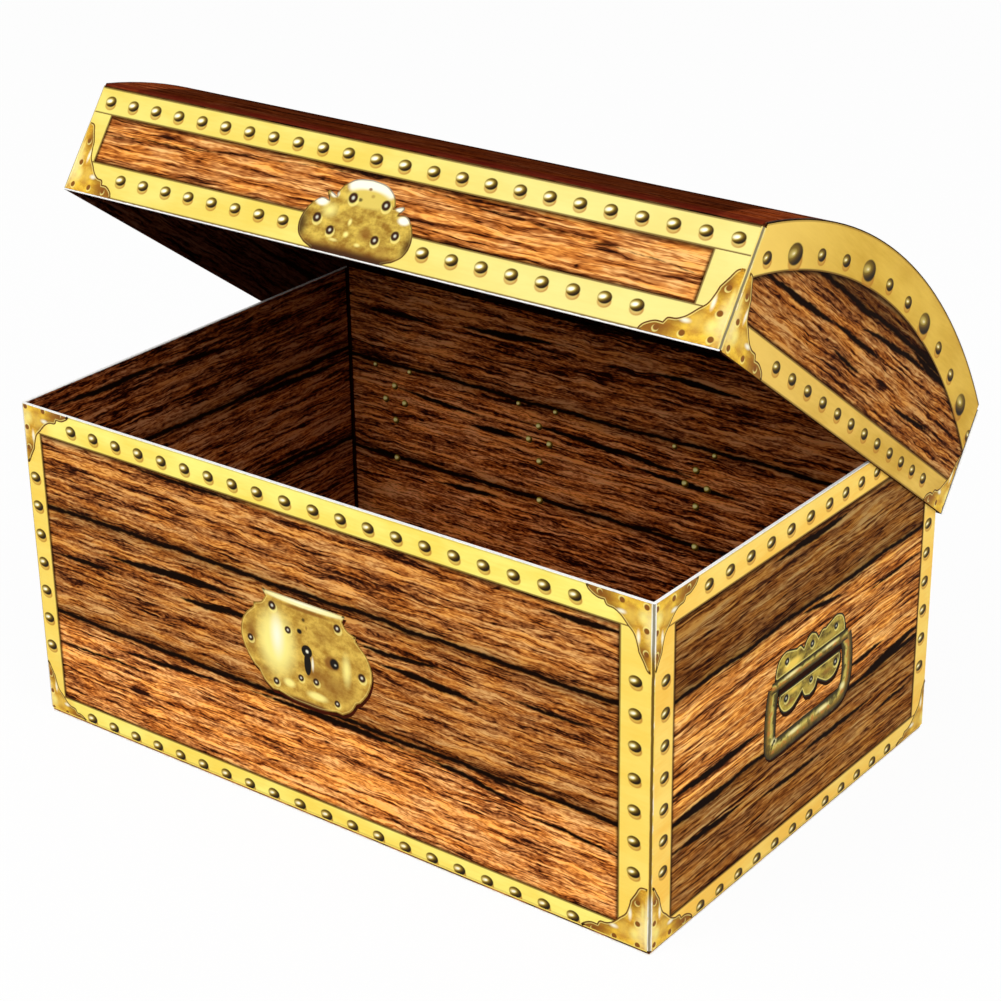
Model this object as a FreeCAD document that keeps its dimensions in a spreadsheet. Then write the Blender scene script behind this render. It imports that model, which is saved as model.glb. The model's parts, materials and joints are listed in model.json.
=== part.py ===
"""A printed paperboard treasure chest: a folded card box under a barrel lid that swings on a crease.

Millimetres, +Z up, the front towards -Y. The origin is the middle of the footprint, on the table.
Each panel and glue flap between two creases is a plate of its own. A panel that is folded to another panel
carries its half of the fold, up to the mitre, and a glue flap carries the whole of its own fold.
The lid's pieces are drawn as if it were shut, with Y and Z measured from the hinge crease or, for the roof
and its tabs, from the centre of the arch. Their placements then hold the lid open.
"""

import FreeCAD
import Part
import Sketcher

import math
import os

SIZES = (
    ("width", 203, "length of the box over its two ends"),
    ("depth", 134, "depth of the box over its front and back"),
    ("height", 94, "height of the box walls above the table"),
    ("board", 0.8, "thickness of the card, and outer radius of every fold"),
    ("lid_overlap", 29.4, "how far the shut lid comes down over the box"),
    ("arch_rise", 16.9, "rise of the roof's inner face above the top of the lips"),
    ("lid_angle", 36.1, "degrees by which the lid stands open"),
    ("side_room", 0.3, "room between a box end and the lid end outside it"),
    ("flap_room", 0.3, "room between the box back and the glue flaps inside the lid's back lip"),
    ("rim_room", 0.3, "room between the box rim and the top of the lid's lips"),
    ("swing_room", 0.3, "room between the front rim and the lid's front lip, where it swings past"),
    ("tab_room", 0.5, "room between the box rim and the roof's glue tabs"),
    ("crease_gap", 0.1, "slit between the lid's back lip and the hinge flap"),
    ("floor_set_back", 0.5, "how far the floor's cut edges stay inside the walls"),
    ("floor_flap", 16, "reach of the glue flaps on the floor"),
    ("floor_flap_room", 1, "room between a floor flap's end and the corner of the box"),
    ("seam_flap", 14, "reach of the glue flap behind the right end"),
    ("seam_taper", 3, "how much shorter that flap is at its free edge, at top and foot"),
    ("hinge_flap", 18, "height of the part of the hinge flap that is glued to the back"),
    ("hinge_flap_inset", 4, "how far the hinge flap's ends stay inside the box ends"),
    ("hinge_flap_taper", 6, "how much shorter the hinge flap is at its free edge, at each end"),
    ("hinge_jog", 5, "height in which the hinge flap leans from the crease to the back"),
    ("lid_flap", 14, "reach of the glue flaps inside the lid's back lip"),
    ("lid_flap_inset", 2, "how far those flaps stay inside the lip, at top and foot"),
    ("lid_flap_taper", 4, "how much shorter they are at their free edge, at top and foot"),
    ("tab_length", 8, "reach of the roof's glue tabs below its inner face"),
    ("tab_count", 7, "tabs along each end of the roof"),
    ("tab_root", 0.6, "card left between a notch and the roof's inner face"),
    ("notch_angle", 0.5, "degrees from the middle of a notch to its side, at the free edge"),
)

# The box: inner faces, the reach of a fold at its mitre, and the top of the floor flaps.
HALF_WIDTH = "(Sizes.width / 2)"
HALF_DEPTH = "(Sizes.depth / 2)"
INNER_WIDTH = "(Sizes.width / 2 - Sizes.board)"
INNER_DEPTH = "(Sizes.depth / 2 - Sizes.board)"
MITRE = "(Sizes.board * cos(45))"
FLOOR_TOP = "(2 * Sizes.board)"
SEAM_INNER = "(Sizes.width / 2 - 2 * Sizes.board)"

# The hinge crease: the outer face of the lid's back lip, clear of the flaps glued inside that lip.
HINGE_OUT = "(2 * Sizes.board + Sizes.flap_room)"
HINGE_Y = f"({HALF_DEPTH} + {HINGE_OUT})"
HINGE_Z = "(Sizes.height - Sizes.lid_overlap)"

# The lid: as deep as the front rim's corner needs when the front lip swings past it.
LIP = "(Sizes.lid_overlap + Sizes.rim_room)"
LID_OUTER = "(Sizes.width / 2 + Sizes.side_room + Sizes.board)"
LID_INNER = "(Sizes.width / 2 + Sizes.side_room)"
RIM_SWING = f"sqrt((Sizes.depth + {HINGE_OUT})^2 + Sizes.lid_overlap^2)"
LID_DEPTH = f"({RIM_SWING} + Sizes.swing_room + Sizes.board)"
LID_FRONT_INNER = f"({RIM_SWING} + Sizes.swing_room)"

# The arch: a circle through the inner corners at the top of the lips, and the centre of that circle.
HALF_SPAN = f"({LID_DEPTH} / 2 - Sizes.board)"
ROOF_INNER = f"(({HALF_SPAN}^2 + Sizes.arch_rise^2) / (2 * Sizes.arch_rise))"
ROOF_OUTER = f"({ROOF_INNER} + Sizes.board)"
SPRING = f"({ROOF_INNER} - Sizes.arch_rise)"
ARCH_Y = f"(-{LID_DEPTH} / 2)"
ARCH_Z = f"({LIP} - {SPRING})"

# The roof's tabs: half of the angle of their row, which ends where the tabs would meet the box rim.
TAB_EDGE = f"({ROOF_INNER} - Sizes.tab_length)"
TAB_REACH = f"acos((Sizes.lid_overlap + Sizes.tab_room - {ARCH_Z}) / {TAB_EDGE})"

FRONT_FACING = -1
BACK_FACING = 1
LEFT = -1
RIGHT = 1

doc = FreeCAD.newDocument("TreasureChest")
sheet = doc.addObject("Spreadsheet::Sheet", "Sizes")
for row, (alias, size, meaning) in enumerate(SIZES, start=1):
    sheet.set(f"A{row}", alias)
    sheet.set(f"B{row}", str(size))
    sheet.setAlias(f"B{row}", alias)
    sheet.set(f"C{row}", meaning)
doc.recompute()


def value(expression):
    """The number that an expression on the sheet's sizes has now."""
    result = sheet.evalExpression(expression)
    return float(getattr(result, "Value", result))


def fold(centre_x, centre_y):
    """An edge of an outline that bends round the inner corner of a fold."""
    return ("Sizes.board", centre_x, centre_y)


def origin_feature(body, role):
    return next(feature for feature in body.Origin.OriginFeatures if feature.Role == role)


def new_body(label):
    body = doc.addObject("PartDesign::Body", label)
    body.Label = label
    return body


def edge_geometry(start, end, arc):
    """A straight edge, or the shorter arc between its ends, drawn anticlockwise about its centre."""
    if arc is None:
        return Part.LineSegment(start, end)
    radius, centre_x, centre_y = arc
    centre = FreeCAD.Vector(value(centre_x), value(centre_y), 0)
    angles = [math.atan2(place.y - centre.y, place.x - centre.x) for place in (start, end)]
    if (angles[1] - angles[0]) % (2 * math.pi) > math.pi:
        angles.reverse()
    return Part.ArcOfCircle(Part.Circle(centre, FreeCAD.Vector(0, 0, 1), value(radius)), *angles)


def hold(sketch, edge, end, axis, expression):
    """Hold one end of an edge at a distance from the sketch's origin, or on its axis where that is nought."""
    if expression == "0":
        axis_line = -2 if axis == "X" else -1
        sketch.addConstraint(Sketcher.Constraint("PointOnObject", edge, end, axis_line))
        return
    constraint = Sketcher.Constraint(f"Distance{axis}", -1, 1, edge, end, value(expression))
    index = sketch.addConstraint(constraint)
    sketch.setExpression(f"Constraints[{index}]", expression)


def draw(body, plane, outlines, lift="0"):
    """A sketch on one of the body's own planes: closed outlines, every corner held by the sheet's sizes.

    A corner is (x, y) or (x, y, arc), where the arc describes the edge that leaves the corner.
    """
    sketch = body.newObject("Sketcher::SketchObject", f"{body.Name}_outline")
    sketch.AttachmentSupport = (origin_feature(body, plane), "")
    sketch.MapMode = "FlatFace"
    sketch.setExpression("AttachmentOffset.Base.z", lift)
    for corners in outlines:
        places = [FreeCAD.Vector(value(corner[0]), value(corner[1]), 0) for corner in corners]
        first = sketch.GeometryCount
        ends = []
        for number, corner in enumerate(corners):
            arc = corner[2] if len(corner) == 3 else None
            following = places[(number + 1) % len(places)]
            edge = sketch.addGeometry(edge_geometry(places[number], following, arc))
            starts_here = sketch.Geometry[edge].StartPoint.isEqual(places[number], 1e-6)
            ends.append((1, 2) if starts_here else (2, 1))
            if arc is not None:
                index = sketch.addConstraint(Sketcher.Constraint("Radius", edge, value(arc[0])))
                sketch.setExpression(f"Constraints[{index}]", arc[0])
        for number, corner in enumerate(corners):
            after = (number + 1) % len(corners)
            joined = (first + number, ends[number][1], first + after, ends[after][0])
            sketch.addConstraint(Sketcher.Constraint("Coincident", *joined))
            hold(sketch, first + number, ends[number][0], "X", corner[0])
            hold(sketch, first + number, ends[number][0], "Y", corner[1])
    return sketch


def pad(body, plane, outline, length, lift="0", symmetric=False):
    """Give an outline its thickness or its length."""
    feature = body.newObject("PartDesign::Pad", f"{body.Name}_pad")
    feature.Profile = draw(body, plane, [outline], lift)
    feature.setExpression("Length", length)
    if symmetric:
        feature.SideType = "Symmetric"
    return feature


def place_in_lid(body, along="0", up="0"):
    """Turn a lid piece about the crease; its own origin lies this far along and up from the crease."""
    turn = "Sizes.lid_angle"
    opening = FreeCAD.Rotation(FreeCAD.Vector(-1, 0, 0), value(turn))
    body.Placement = FreeCAD.Placement(FreeCAD.Vector(0, 0, 0), opening)
    body.setExpression("Placement.Base.y", f"{HINGE_Y} + {along} * cos({turn}) + {up} * sin({turn})")
    body.setExpression("Placement.Base.z", f"{HINGE_Z} - {along} * sin({turn}) + {up} * cos({turn})")
    body.setExpression("Placement.Rotation.Angle", turn)


def corner_point(side_x, side_y, width, depth):
    """The middle of a corner's fold, outside the inner corner that is `width` and `depth` from the origin."""
    return (f"{side_x} * ({width} + {MITRE})", f"{side_y} * ({depth} + {MITRE})")


def wall(label, outline, foot):
    """A wall of the box: its plan between two corners, from its foot up to the rim."""
    body = new_body(label)
    pad(body, "XY_Plane", outline, f"Sizes.height - {foot}", lift=foot)
    return body


def front_panel():
    left_fold = fold(f"-{INNER_WIDTH}", f"-{INNER_DEPTH}")
    right_fold = fold(INNER_WIDTH, f"-{INNER_DEPTH}")
    return wall("front_panel", [
        (f"-{INNER_WIDTH}", f"-{HALF_DEPTH}"),
        (INNER_WIDTH, f"-{HALF_DEPTH}", right_fold),
        corner_point(RIGHT, FRONT_FACING, INNER_WIDTH, INNER_DEPTH),
        (INNER_WIDTH, f"-{INNER_DEPTH}"),
        (f"-{INNER_WIDTH}", f"-{INNER_DEPTH}"),
        (*corner_point(LEFT, FRONT_FACING, INNER_WIDTH, INNER_DEPTH), left_fold),
    ], FLOOR_TOP)


def left_end_panel():
    front_fold = fold(f"-{INNER_WIDTH}", f"-{INNER_DEPTH}")
    back_fold = fold(f"-{INNER_WIDTH}", INNER_DEPTH)
    return wall("left_end_panel", [
        (f"-{INNER_WIDTH}", f"-{INNER_DEPTH}"),
        (*corner_point(LEFT, FRONT_FACING, INNER_WIDTH, INNER_DEPTH), front_fold),
        (f"-{HALF_WIDTH}", f"-{INNER_DEPTH}"),
        (f"-{HALF_WIDTH}", INNER_DEPTH, back_fold),
        corner_point(LEFT, BACK_FACING, INNER_WIDTH, INNER_DEPTH),
        (f"-{INNER_WIDTH}", INNER_DEPTH),
    ], FLOOR_TOP)


def right_end_panel():
    """Folded to the front; its back edge is a cut one, over the seam."""
    front_fold = fold(INNER_WIDTH, f"-{INNER_DEPTH}")
    return wall("right_end_panel", [
        (INNER_WIDTH, f"-{INNER_DEPTH}"),
        (*corner_point(RIGHT, FRONT_FACING, INNER_WIDTH, INNER_DEPTH), front_fold),
        (HALF_WIDTH, f"-{INNER_DEPTH}"),
        (HALF_WIDTH, HALF_DEPTH),
        (INNER_WIDTH, HALF_DEPTH),
    ], FLOOR_TOP)


def back_panel():
    """Folded to the left end; at the right it ends where the seam flap folds off it."""
    left_fold = fold(f"-{INNER_WIDTH}", INNER_DEPTH)
    return wall("back_panel", [
        (f"-{INNER_WIDTH}", INNER_DEPTH),
        (*corner_point(LEFT, BACK_FACING, INNER_WIDTH, INNER_DEPTH), left_fold),
        (f"-{INNER_WIDTH}", HALF_DEPTH),
        (SEAM_INNER, HALF_DEPTH),
        (SEAM_INNER, INNER_DEPTH),
    ], "Sizes.board")


def side_seam_flap():
    """The glue flap that closes the ring of walls, tapered at top and foot."""
    body = new_body("side_seam_flap")
    free_edge = f"({INNER_DEPTH} - Sizes.seam_flap)"
    pad(body, "YZ_Plane", [
        (free_edge, f"{FLOOR_TOP} + Sizes.seam_taper"),
        (INNER_DEPTH, FLOOR_TOP),
        (INNER_DEPTH, "Sizes.height"),
        (free_edge, "Sizes.height - Sizes.seam_taper"),
    ], "Sizes.board", lift=SEAM_INNER)
    pad(body, "XY_Plane", [
        (SEAM_INNER, INNER_DEPTH),
        (INNER_WIDTH, INNER_DEPTH, fold(SEAM_INNER, INNER_DEPTH)),
        (SEAM_INNER, HALF_DEPTH),
    ], f"Sizes.height - {FLOOR_TOP}", lift=FLOOR_TOP)
    return body


def bottom_panel():
    """The floor: folded to the back, with three cut edges under the glue flaps."""
    body = new_body("bottom_panel")
    front_edge = f"-({HALF_DEPTH} - Sizes.floor_set_back)"
    pad(body, "YZ_Plane", [
        (front_edge, "0"),
        (INNER_DEPTH, "0", fold(INNER_DEPTH, "Sizes.board")),
        (HALF_DEPTH, "Sizes.board"),
        (front_edge, "Sizes.board"),
    ], "Sizes.width - 2 * Sizes.floor_set_back", symmetric=True)
    return body


def bottom_front_flap():
    """Glue flap under the front wall: mitred towards its free edge so that it clears its neighbours."""
    body = new_body("bottom_front_flap")
    long_end = f"({INNER_WIDTH} - Sizes.floor_flap_room)"
    short_end = f"({long_end} - Sizes.floor_flap)"
    pad(body, "XY_Plane", [
        (f"-{long_end}", f"-{INNER_DEPTH}"),
        (long_end, f"-{INNER_DEPTH}"),
        (short_end, f"-({INNER_DEPTH} - Sizes.floor_flap)"),
        (f"-{short_end}", f"-({INNER_DEPTH} - Sizes.floor_flap)"),
    ], "Sizes.board", lift="Sizes.board")
    pad(body, "YZ_Plane", [
        (f"-{INNER_DEPTH}", "Sizes.board"),
        (f"-{INNER_DEPTH}", FLOOR_TOP),
        (f"-{HALF_DEPTH}", FLOOR_TOP, fold(f"-{INNER_DEPTH}", FLOOR_TOP)),
    ], f"2 * {long_end}", symmetric=True)
    return body


def bottom_end_flap(label, side):
    """Glue flap under an end wall, mitred the same way."""
    body = new_body(label)
    long_end = f"({INNER_DEPTH} - Sizes.floor_flap_room)"
    short_end = f"({long_end} - Sizes.floor_flap)"
    free_edge = f"{side} * ({INNER_WIDTH} - Sizes.floor_flap)"
    pad(body, "XY_Plane", [
        (f"{side} * {INNER_WIDTH}", f"-{long_end}"),
        (f"{side} * {INNER_WIDTH}", long_end),
        (free_edge, short_end),
        (free_edge, f"-{short_end}"),
    ], "Sizes.board", lift="Sizes.board")
    pad(body, "XZ_Plane", [
        (f"{side} * {INNER_WIDTH}", "Sizes.board"),
        (f"{side} * {INNER_WIDTH}", FLOOR_TOP),
        (f"{side} * {HALF_WIDTH}", FLOOR_TOP, fold(f"{side} * {INNER_WIDTH}", FLOOR_TOP)),
    ], f"2 * {long_end}", symmetric=True)
    return body


def hinge_flap():
    """The flap below the lid's crease: it leans in to the back wall and is glued flat to it."""
    body = new_body("hinge_flap")
    long_end = f"({HALF_WIDTH} - Sizes.hinge_flap_inset)"
    short_end = f"({long_end} - Sizes.hinge_flap_taper)"
    glue_top = f"({HINGE_Z} - Sizes.hinge_jog)"
    glue_foot = f"({glue_top} - Sizes.hinge_flap)"
    glue_face = f"({HALF_DEPTH} + Sizes.board)"
    pad(body, "XZ_Plane", [
        (f"-{long_end}", glue_top),
        (f"-{short_end}", glue_foot),
        (short_end, glue_foot),
        (long_end, glue_top),
    ], "Sizes.board", lift=f"-{glue_face}")
    pad(body, "YZ_Plane", [
        (HALF_DEPTH, glue_top),
        (glue_face, glue_top),
        (HINGE_Y, HINGE_Z),
        (f"{HINGE_Y} - Sizes.board", HINGE_Z),
    ], f"2 * {long_end}", symmetric=True)
    return body


def lid_front_lip():
    """The lid's front: folded to both arched ends."""
    body = new_body("lid_front_lip")
    left_fold = fold(f"-{LID_INNER}", f"-{LID_FRONT_INNER}")
    right_fold = fold(LID_INNER, f"-{LID_FRONT_INNER}")
    pad(body, "XY_Plane", [
        (f"-{LID_INNER}", f"-{LID_DEPTH}"),
        (LID_INNER, f"-{LID_DEPTH}", right_fold),
        corner_point(RIGHT, FRONT_FACING, LID_INNER, LID_FRONT_INNER),
        (LID_INNER, f"-{LID_FRONT_INNER}"),
        (f"-{LID_INNER}", f"-{LID_FRONT_INNER}"),
        (*corner_point(LEFT, FRONT_FACING, LID_INNER, LID_FRONT_INNER), left_fold),
    ], LIP)
    place_in_lid(body)
    return body


def lid_back_lip():
    """The lid's back: its foot is the hinge crease, and its cut ends cover the folds of the glue flaps."""
    body = new_body("lid_back_lip")
    pad(body, "XY_Plane", [
        (f"-{LID_OUTER}", "-Sizes.board"),
        (LID_OUTER, "-Sizes.board"),
        (LID_OUTER, "0"),
        (f"-{LID_OUTER}", "0"),
    ], f"{LIP} - Sizes.crease_gap", lift="Sizes.crease_gap")
    place_in_lid(body)
    return body


def lid_end(label, side):
    """An arched end, cut flush with the top of the roof that it covers, and folded to the front lip."""
    body = new_body(label)
    front = f"-{LID_FRONT_INNER}"
    back = "(-2 * Sizes.board)"
    top_at_front = f"({ARCH_Z} + sqrt({ROOF_OUTER}^2 - {HALF_SPAN}^2))"
    top_at_back = f"({ARCH_Z} + sqrt({ROOF_OUTER}^2 - ({back} - {ARCH_Y})^2))"
    inner_face = LID_INNER if side == RIGHT else f"-{LID_OUTER}"
    pad(body, "YZ_Plane", [
        (front, "0"),
        (back, "0"),
        (back, top_at_back, (ROOF_OUTER, ARCH_Y, ARCH_Z)),
        (front, top_at_front),
    ], "Sizes.board", lift=inner_face)
    pad(body, "XY_Plane", [
        (f"{side} * {LID_INNER}", front),
        (f"{side} * {LID_OUTER}", front, fold(f"{side} * {LID_INNER}", front)),
        corner_point(side, FRONT_FACING, LID_INNER, LID_FRONT_INNER),
    ], LIP)
    place_in_lid(body)
    return body


def lid_back_flap(label, side):
    """Glue flap folded off an arched end, inside the back lip."""
    body = new_body(label)
    inner_face = "(-2 * Sizes.board)"
    foot = "Sizes.lid_flap_inset"
    top = f"({LIP} - Sizes.lid_flap_inset)"
    free_edge = f"{side} * ({LID_INNER} - Sizes.lid_flap)"
    pad(body, "XZ_Plane", [
        (f"{side} * {LID_INNER}", foot),
        (f"{side} * {LID_INNER}", top),
        (free_edge, f"{top} - Sizes.lid_flap_taper"),
        (free_edge, f"{foot} + Sizes.lid_flap_taper"),
    ], "Sizes.board", lift="Sizes.board")
    pad(body, "XY_Plane", [
        (f"{side} * {LID_INNER}", inner_face),
        (f"{side} * {LID_OUTER}", inner_face, fold(f"{side} * {LID_INNER}", inner_face)),
        (f"{side} * {LID_INNER}", "-Sizes.board"),
    ], f"{top} - {foot}", lift=foot)
    place_in_lid(body)
    return body


def lid_roof():
    """The barrel roof between the arched ends: folded to both lips, and notched where its tabs fold down."""
    body = new_body("lid_roof")
    crease_reach = f"({HALF_SPAN} * {ROOF_OUTER} / {ROOF_INNER})"
    crease_rise = f"({SPRING} * {ROOF_OUTER} / {ROOF_INNER})"
    pad(body, "YZ_Plane", [
        (f"-({HALF_SPAN} + Sizes.board)", SPRING, fold(f"-{HALF_SPAN}", SPRING)),
        (f"-{crease_reach}", crease_rise, (ROOF_OUTER, "0", "0")),
        (crease_reach, crease_rise, fold(HALF_SPAN, SPRING)),
        (f"{HALF_SPAN} + Sizes.board", SPRING),
        (HALF_SPAN, SPRING, (ROOF_INNER, "0", "0")),
        (f"-{HALF_SPAN}", SPRING),
    ], f"2 * {LID_INNER}", symmetric=True)
    fold_strips = [[
        (f"{side} * ({LID_INNER} - Sizes.board)", TAB_EDGE),
        (f"{side} * ({LID_INNER} + Sizes.board)", TAB_EDGE),
        (f"{side} * ({LID_INNER} + Sizes.board)", f"{ROOF_OUTER} + Sizes.board"),
        (f"{side} * ({LID_INNER} - Sizes.board)", f"{ROOF_OUTER} + Sizes.board"),
    ] for side in (LEFT, RIGHT)]
    strips = body.newObject("PartDesign::Groove", "lid_roof_fold_strips")
    strips.Profile = draw(body, "XZ_Plane", fold_strips)
    strips.ReferenceAxis = (origin_feature(body, "X_Axis"), [""])
    strips.Midplane = True
    strips.setExpression("Angle", f"2 * {TAB_REACH}")
    place_in_lid(body, ARCH_Y, ARCH_Z)
    return body


def lid_roof_tabs(label, side):
    """The fringe folded down along a curved edge of the roof: turned about the arch, then notched into tabs."""
    body = new_body(label)
    inner_face = f"{side} * ({LID_INNER} - Sizes.board)"
    glue_face = f"{side} * {LID_INNER}"
    fringe = body.newObject("PartDesign::Revolution", f"{label}_fringe")
    fringe.Profile = draw(body, "XZ_Plane", [[
        (inner_face, TAB_EDGE),
        (glue_face, TAB_EDGE),
        (glue_face, ROOF_INNER, fold(inner_face, ROOF_INNER)),
        (inner_face, ROOF_OUTER),
    ]])
    fringe.ReferenceAxis = (origin_feature(body, "X_Axis"), [""])
    fringe.Midplane = True
    fringe.setExpression("Angle", f"2 * {TAB_REACH}")

    first_notch = f"({TAB_REACH} * (Sizes.tab_count - 2) / Sizes.tab_count)"
    notch_top = f"({ROOF_INNER} - Sizes.tab_root)"
    below_edge = f"({TAB_EDGE} - Sizes.tab_root)"
    notch = body.newObject("PartDesign::Pocket", f"{label}_notch")
    notch.Profile = draw(body, "YZ_Plane", [[
        (f"{notch_top} * sin({first_notch})", f"{notch_top} * cos({first_notch})"),
        (f"{below_edge} * sin({first_notch} - Sizes.notch_angle * 1deg)",
         f"{below_edge} * cos({first_notch} - Sizes.notch_angle * 1deg)"),
        (f"{below_edge} * sin({first_notch} + Sizes.notch_angle * 1deg)",
         f"{below_edge} * cos({first_notch} + Sizes.notch_angle * 1deg)"),
    ]])
    notch.Type = "ThroughAll"
    notch.SideType = "Symmetric"
    doc.recompute()

    notches = body.newObject("PartDesign::PolarPattern", f"{label}_notches")
    notches.Originals = [notch]
    notches.Axis = (origin_feature(body, "X_Axis"), [""])
    notches.setExpression("Angle", f"2 * {first_notch}")
    notches.setExpression("Occurrences", "Sizes.tab_count - 1")
    body.Tip = notches
    place_in_lid(body, ARCH_Y, ARCH_Z)
    return body


pieces = [
    front_panel(),
    right_end_panel(),
    back_panel(),
    left_end_panel(),
    side_seam_flap(),
    bottom_panel(),
    bottom_front_flap(),
    bottom_end_flap("bottom_left_flap", LEFT),
    bottom_end_flap("bottom_right_flap", RIGHT),
    hinge_flap(),
    lid_front_lip(),
    lid_roof(),
    lid_back_lip(),
    lid_end("lid_left_end", LEFT),
    lid_end("lid_right_end", RIGHT),
    lid_roof_tabs("lid_left_roof_tabs", LEFT),
    lid_roof_tabs("lid_right_roof_tabs", RIGHT),
    lid_back_flap("lid_left_back_flap", LEFT),
    lid_back_flap("lid_right_back_flap", RIGHT),
]
doc.recompute()

for item in doc.Objects:
    if {"Invalid", "Error"} & set(item.State):
        raise RuntimeError(f"{item.Label} did not build: {item.State}")
for piece in pieces:
    if piece.Shape.isNull() or not piece.Shape.isValid() or len(piece.Shape.Solids) != 1:
        raise RuntimeError(f"{piece.Label} is not one sound solid")

os.makedirs("parts", exist_ok=True)
for piece in pieces:
    piece.Shape.exportStep(f"parts/{piece.Label}.step")
    box = piece.Shape.BoundBox
    extent = f"{box.XLength:.1f} x {box.YLength:.1f} x {box.ZLength:.1f} mm"
    print(f"{piece.Label}: {extent}, {piece.Shape.Volume / 1000:.2f} cm3")
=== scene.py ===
# %% [markdown]
# # A printed card treasure chest
# The real thing is a small folded box of white paperboard. Its planks, brass bands, lock and handle are
# ink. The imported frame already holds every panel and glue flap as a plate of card, so this lesson prints
# them: planks go into the panels' own materials, and each brass ornament is a thin film of ink cut to its
# outline.

# %% Load the frame
import json
import math
from dataclasses import dataclass
from functools import reduce

import bmesh
import bpy
from mathutils import Color, Matrix, Vector


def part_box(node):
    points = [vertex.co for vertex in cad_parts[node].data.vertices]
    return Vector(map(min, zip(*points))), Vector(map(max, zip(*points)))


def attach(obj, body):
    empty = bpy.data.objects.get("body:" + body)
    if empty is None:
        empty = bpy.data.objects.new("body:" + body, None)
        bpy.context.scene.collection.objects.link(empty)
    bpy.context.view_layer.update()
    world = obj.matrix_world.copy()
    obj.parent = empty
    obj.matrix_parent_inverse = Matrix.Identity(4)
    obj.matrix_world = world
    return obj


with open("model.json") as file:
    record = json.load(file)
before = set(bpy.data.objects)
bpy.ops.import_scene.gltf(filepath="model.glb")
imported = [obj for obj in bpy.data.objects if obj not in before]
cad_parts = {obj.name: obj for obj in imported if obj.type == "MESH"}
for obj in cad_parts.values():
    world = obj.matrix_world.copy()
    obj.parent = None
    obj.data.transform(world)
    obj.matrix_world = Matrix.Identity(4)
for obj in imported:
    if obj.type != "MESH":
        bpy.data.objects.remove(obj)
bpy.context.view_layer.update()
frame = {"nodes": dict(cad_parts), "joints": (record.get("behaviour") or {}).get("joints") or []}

print("pieces of card:", len(frame["nodes"]))

# %% [markdown]
# ## Sizes
# Everything is measured from the frame, so the print follows if a panel changes. The lid stands open, and
# its print is easiest to lay out as if it were shut, so one matrix turns shut places into open ones.
# Layouts below are written in millimetres, as on a printer's sheet.

# %% Sizes of the box, and of the lid as if it were shut
MM = 0.001
hinge = frame["joints"][0]
crease = Vector(hinge["pos_m"])
lid_opening = math.radians(-hinge["range_deg"][0])
shut_to_open = Matrix.Translation(crease) @ Matrix.Rotation(lid_opening, 4, Vector(hinge["axis"]))
open_to_shut = shut_to_open.inverted()


def lid_box(node):
    """Lowest and highest corner of a lid piece, in metres from the crease, as if the lid were shut."""
    points = [open_to_shut @ vertex.co for vertex in frame["nodes"][node].data.vertices]
    return Vector(map(min, zip(*points))), Vector(map(max, zip(*points)))


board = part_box("bottom_panel")[1].z / MM
half_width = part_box("right_end_panel")[1].x / MM
half_depth = -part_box("front_panel")[0].y / MM
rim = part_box("front_panel")[1].z / MM
wall_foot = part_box("front_panel")[0].z / MM
lid_half_width = lid_box("lid_right_end")[1].x / MM
lid_depth = -lid_box("lid_front_lip")[0].y / MM
lip = lid_box("lid_front_lip")[1].z / MM
crown = lid_box("lid_roof")[1].z / MM
arch_rise = crown - board - lip
arch_half_span = lid_depth / 2 - board
arch_radius = (arch_half_span ** 2 + arch_rise ** 2) / (2 * arch_rise) + board
arch_centre = (-lid_depth / 2, crown - arch_radius)
flat_width = half_width - board
flat_depth = half_depth - board
lid_flat_width = lid_half_width - board
lid_flat_depth = lid_depth - board
print(f"box {2 * half_width:.1f} x {2 * half_depth:.1f} x {rim:.1f} mm, lid {lid_depth:.1f} mm deep")

# %% [markdown]
# ## Camera
# The photograph was taken from the front right, a little above the open lid, through a longish lens. Its
# place comes from the picture's own perspective: the corners of the box, whose sizes are known, fix all of
# it.

# %% Camera
EYE = Vector((0.37413, -0.47918, 0.34599))
GAZE = Vector((-0.55218, 0.72195, -0.41700))
ROLL = math.radians(-0.796)
FOCAL_PIXELS = 2497.7
PICTURE_PIXELS = 1001
SENSOR_WIDTH = 36.0


def add_object(name, data):
    """A new object in the scene."""
    added = bpy.data.objects.new(name, data)
    bpy.context.scene.collection.objects.link(added)
    return added


camera = add_object("camera", bpy.data.cameras.new("camera"))
camera.data.sensor_width = SENSOR_WIDTH
camera.data.lens = SENSOR_WIDTH * FOCAL_PIXELS / PICTURE_PIXELS
turn = GAZE.to_track_quat("-Z", "Y").to_matrix().to_4x4()
camera.matrix_world = Matrix.Translation(EYE) @ turn @ Matrix.Rotation(ROLL, 4, "Z")
bpy.context.scene.camera = camera
print(f"lens {camera.data.lens:.1f} mm at {EYE.length / MM:.0f} mm")

# %% [markdown]
# ## Shader maths
# A print is mostly arithmetic on a place: how far along, how far up, is that inside a stud? Wiring Math
# nodes by hand is slow to read, so one small class wraps a socket and lets Python's own operators add the
# nodes. Every other node comes from one method, which sets the node's settings first and then fills its
# sockets.

# %% Ink: a socket that Python's operators work on
def operator(operation):
    """The plain and the reflected form of one Math operation."""
    def plain(self, other):
        return self.paint.maths(operation, self, other)

    def reflected(self, other):
        return self.paint.maths(operation, other, self)

    return plain, reflected


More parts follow.
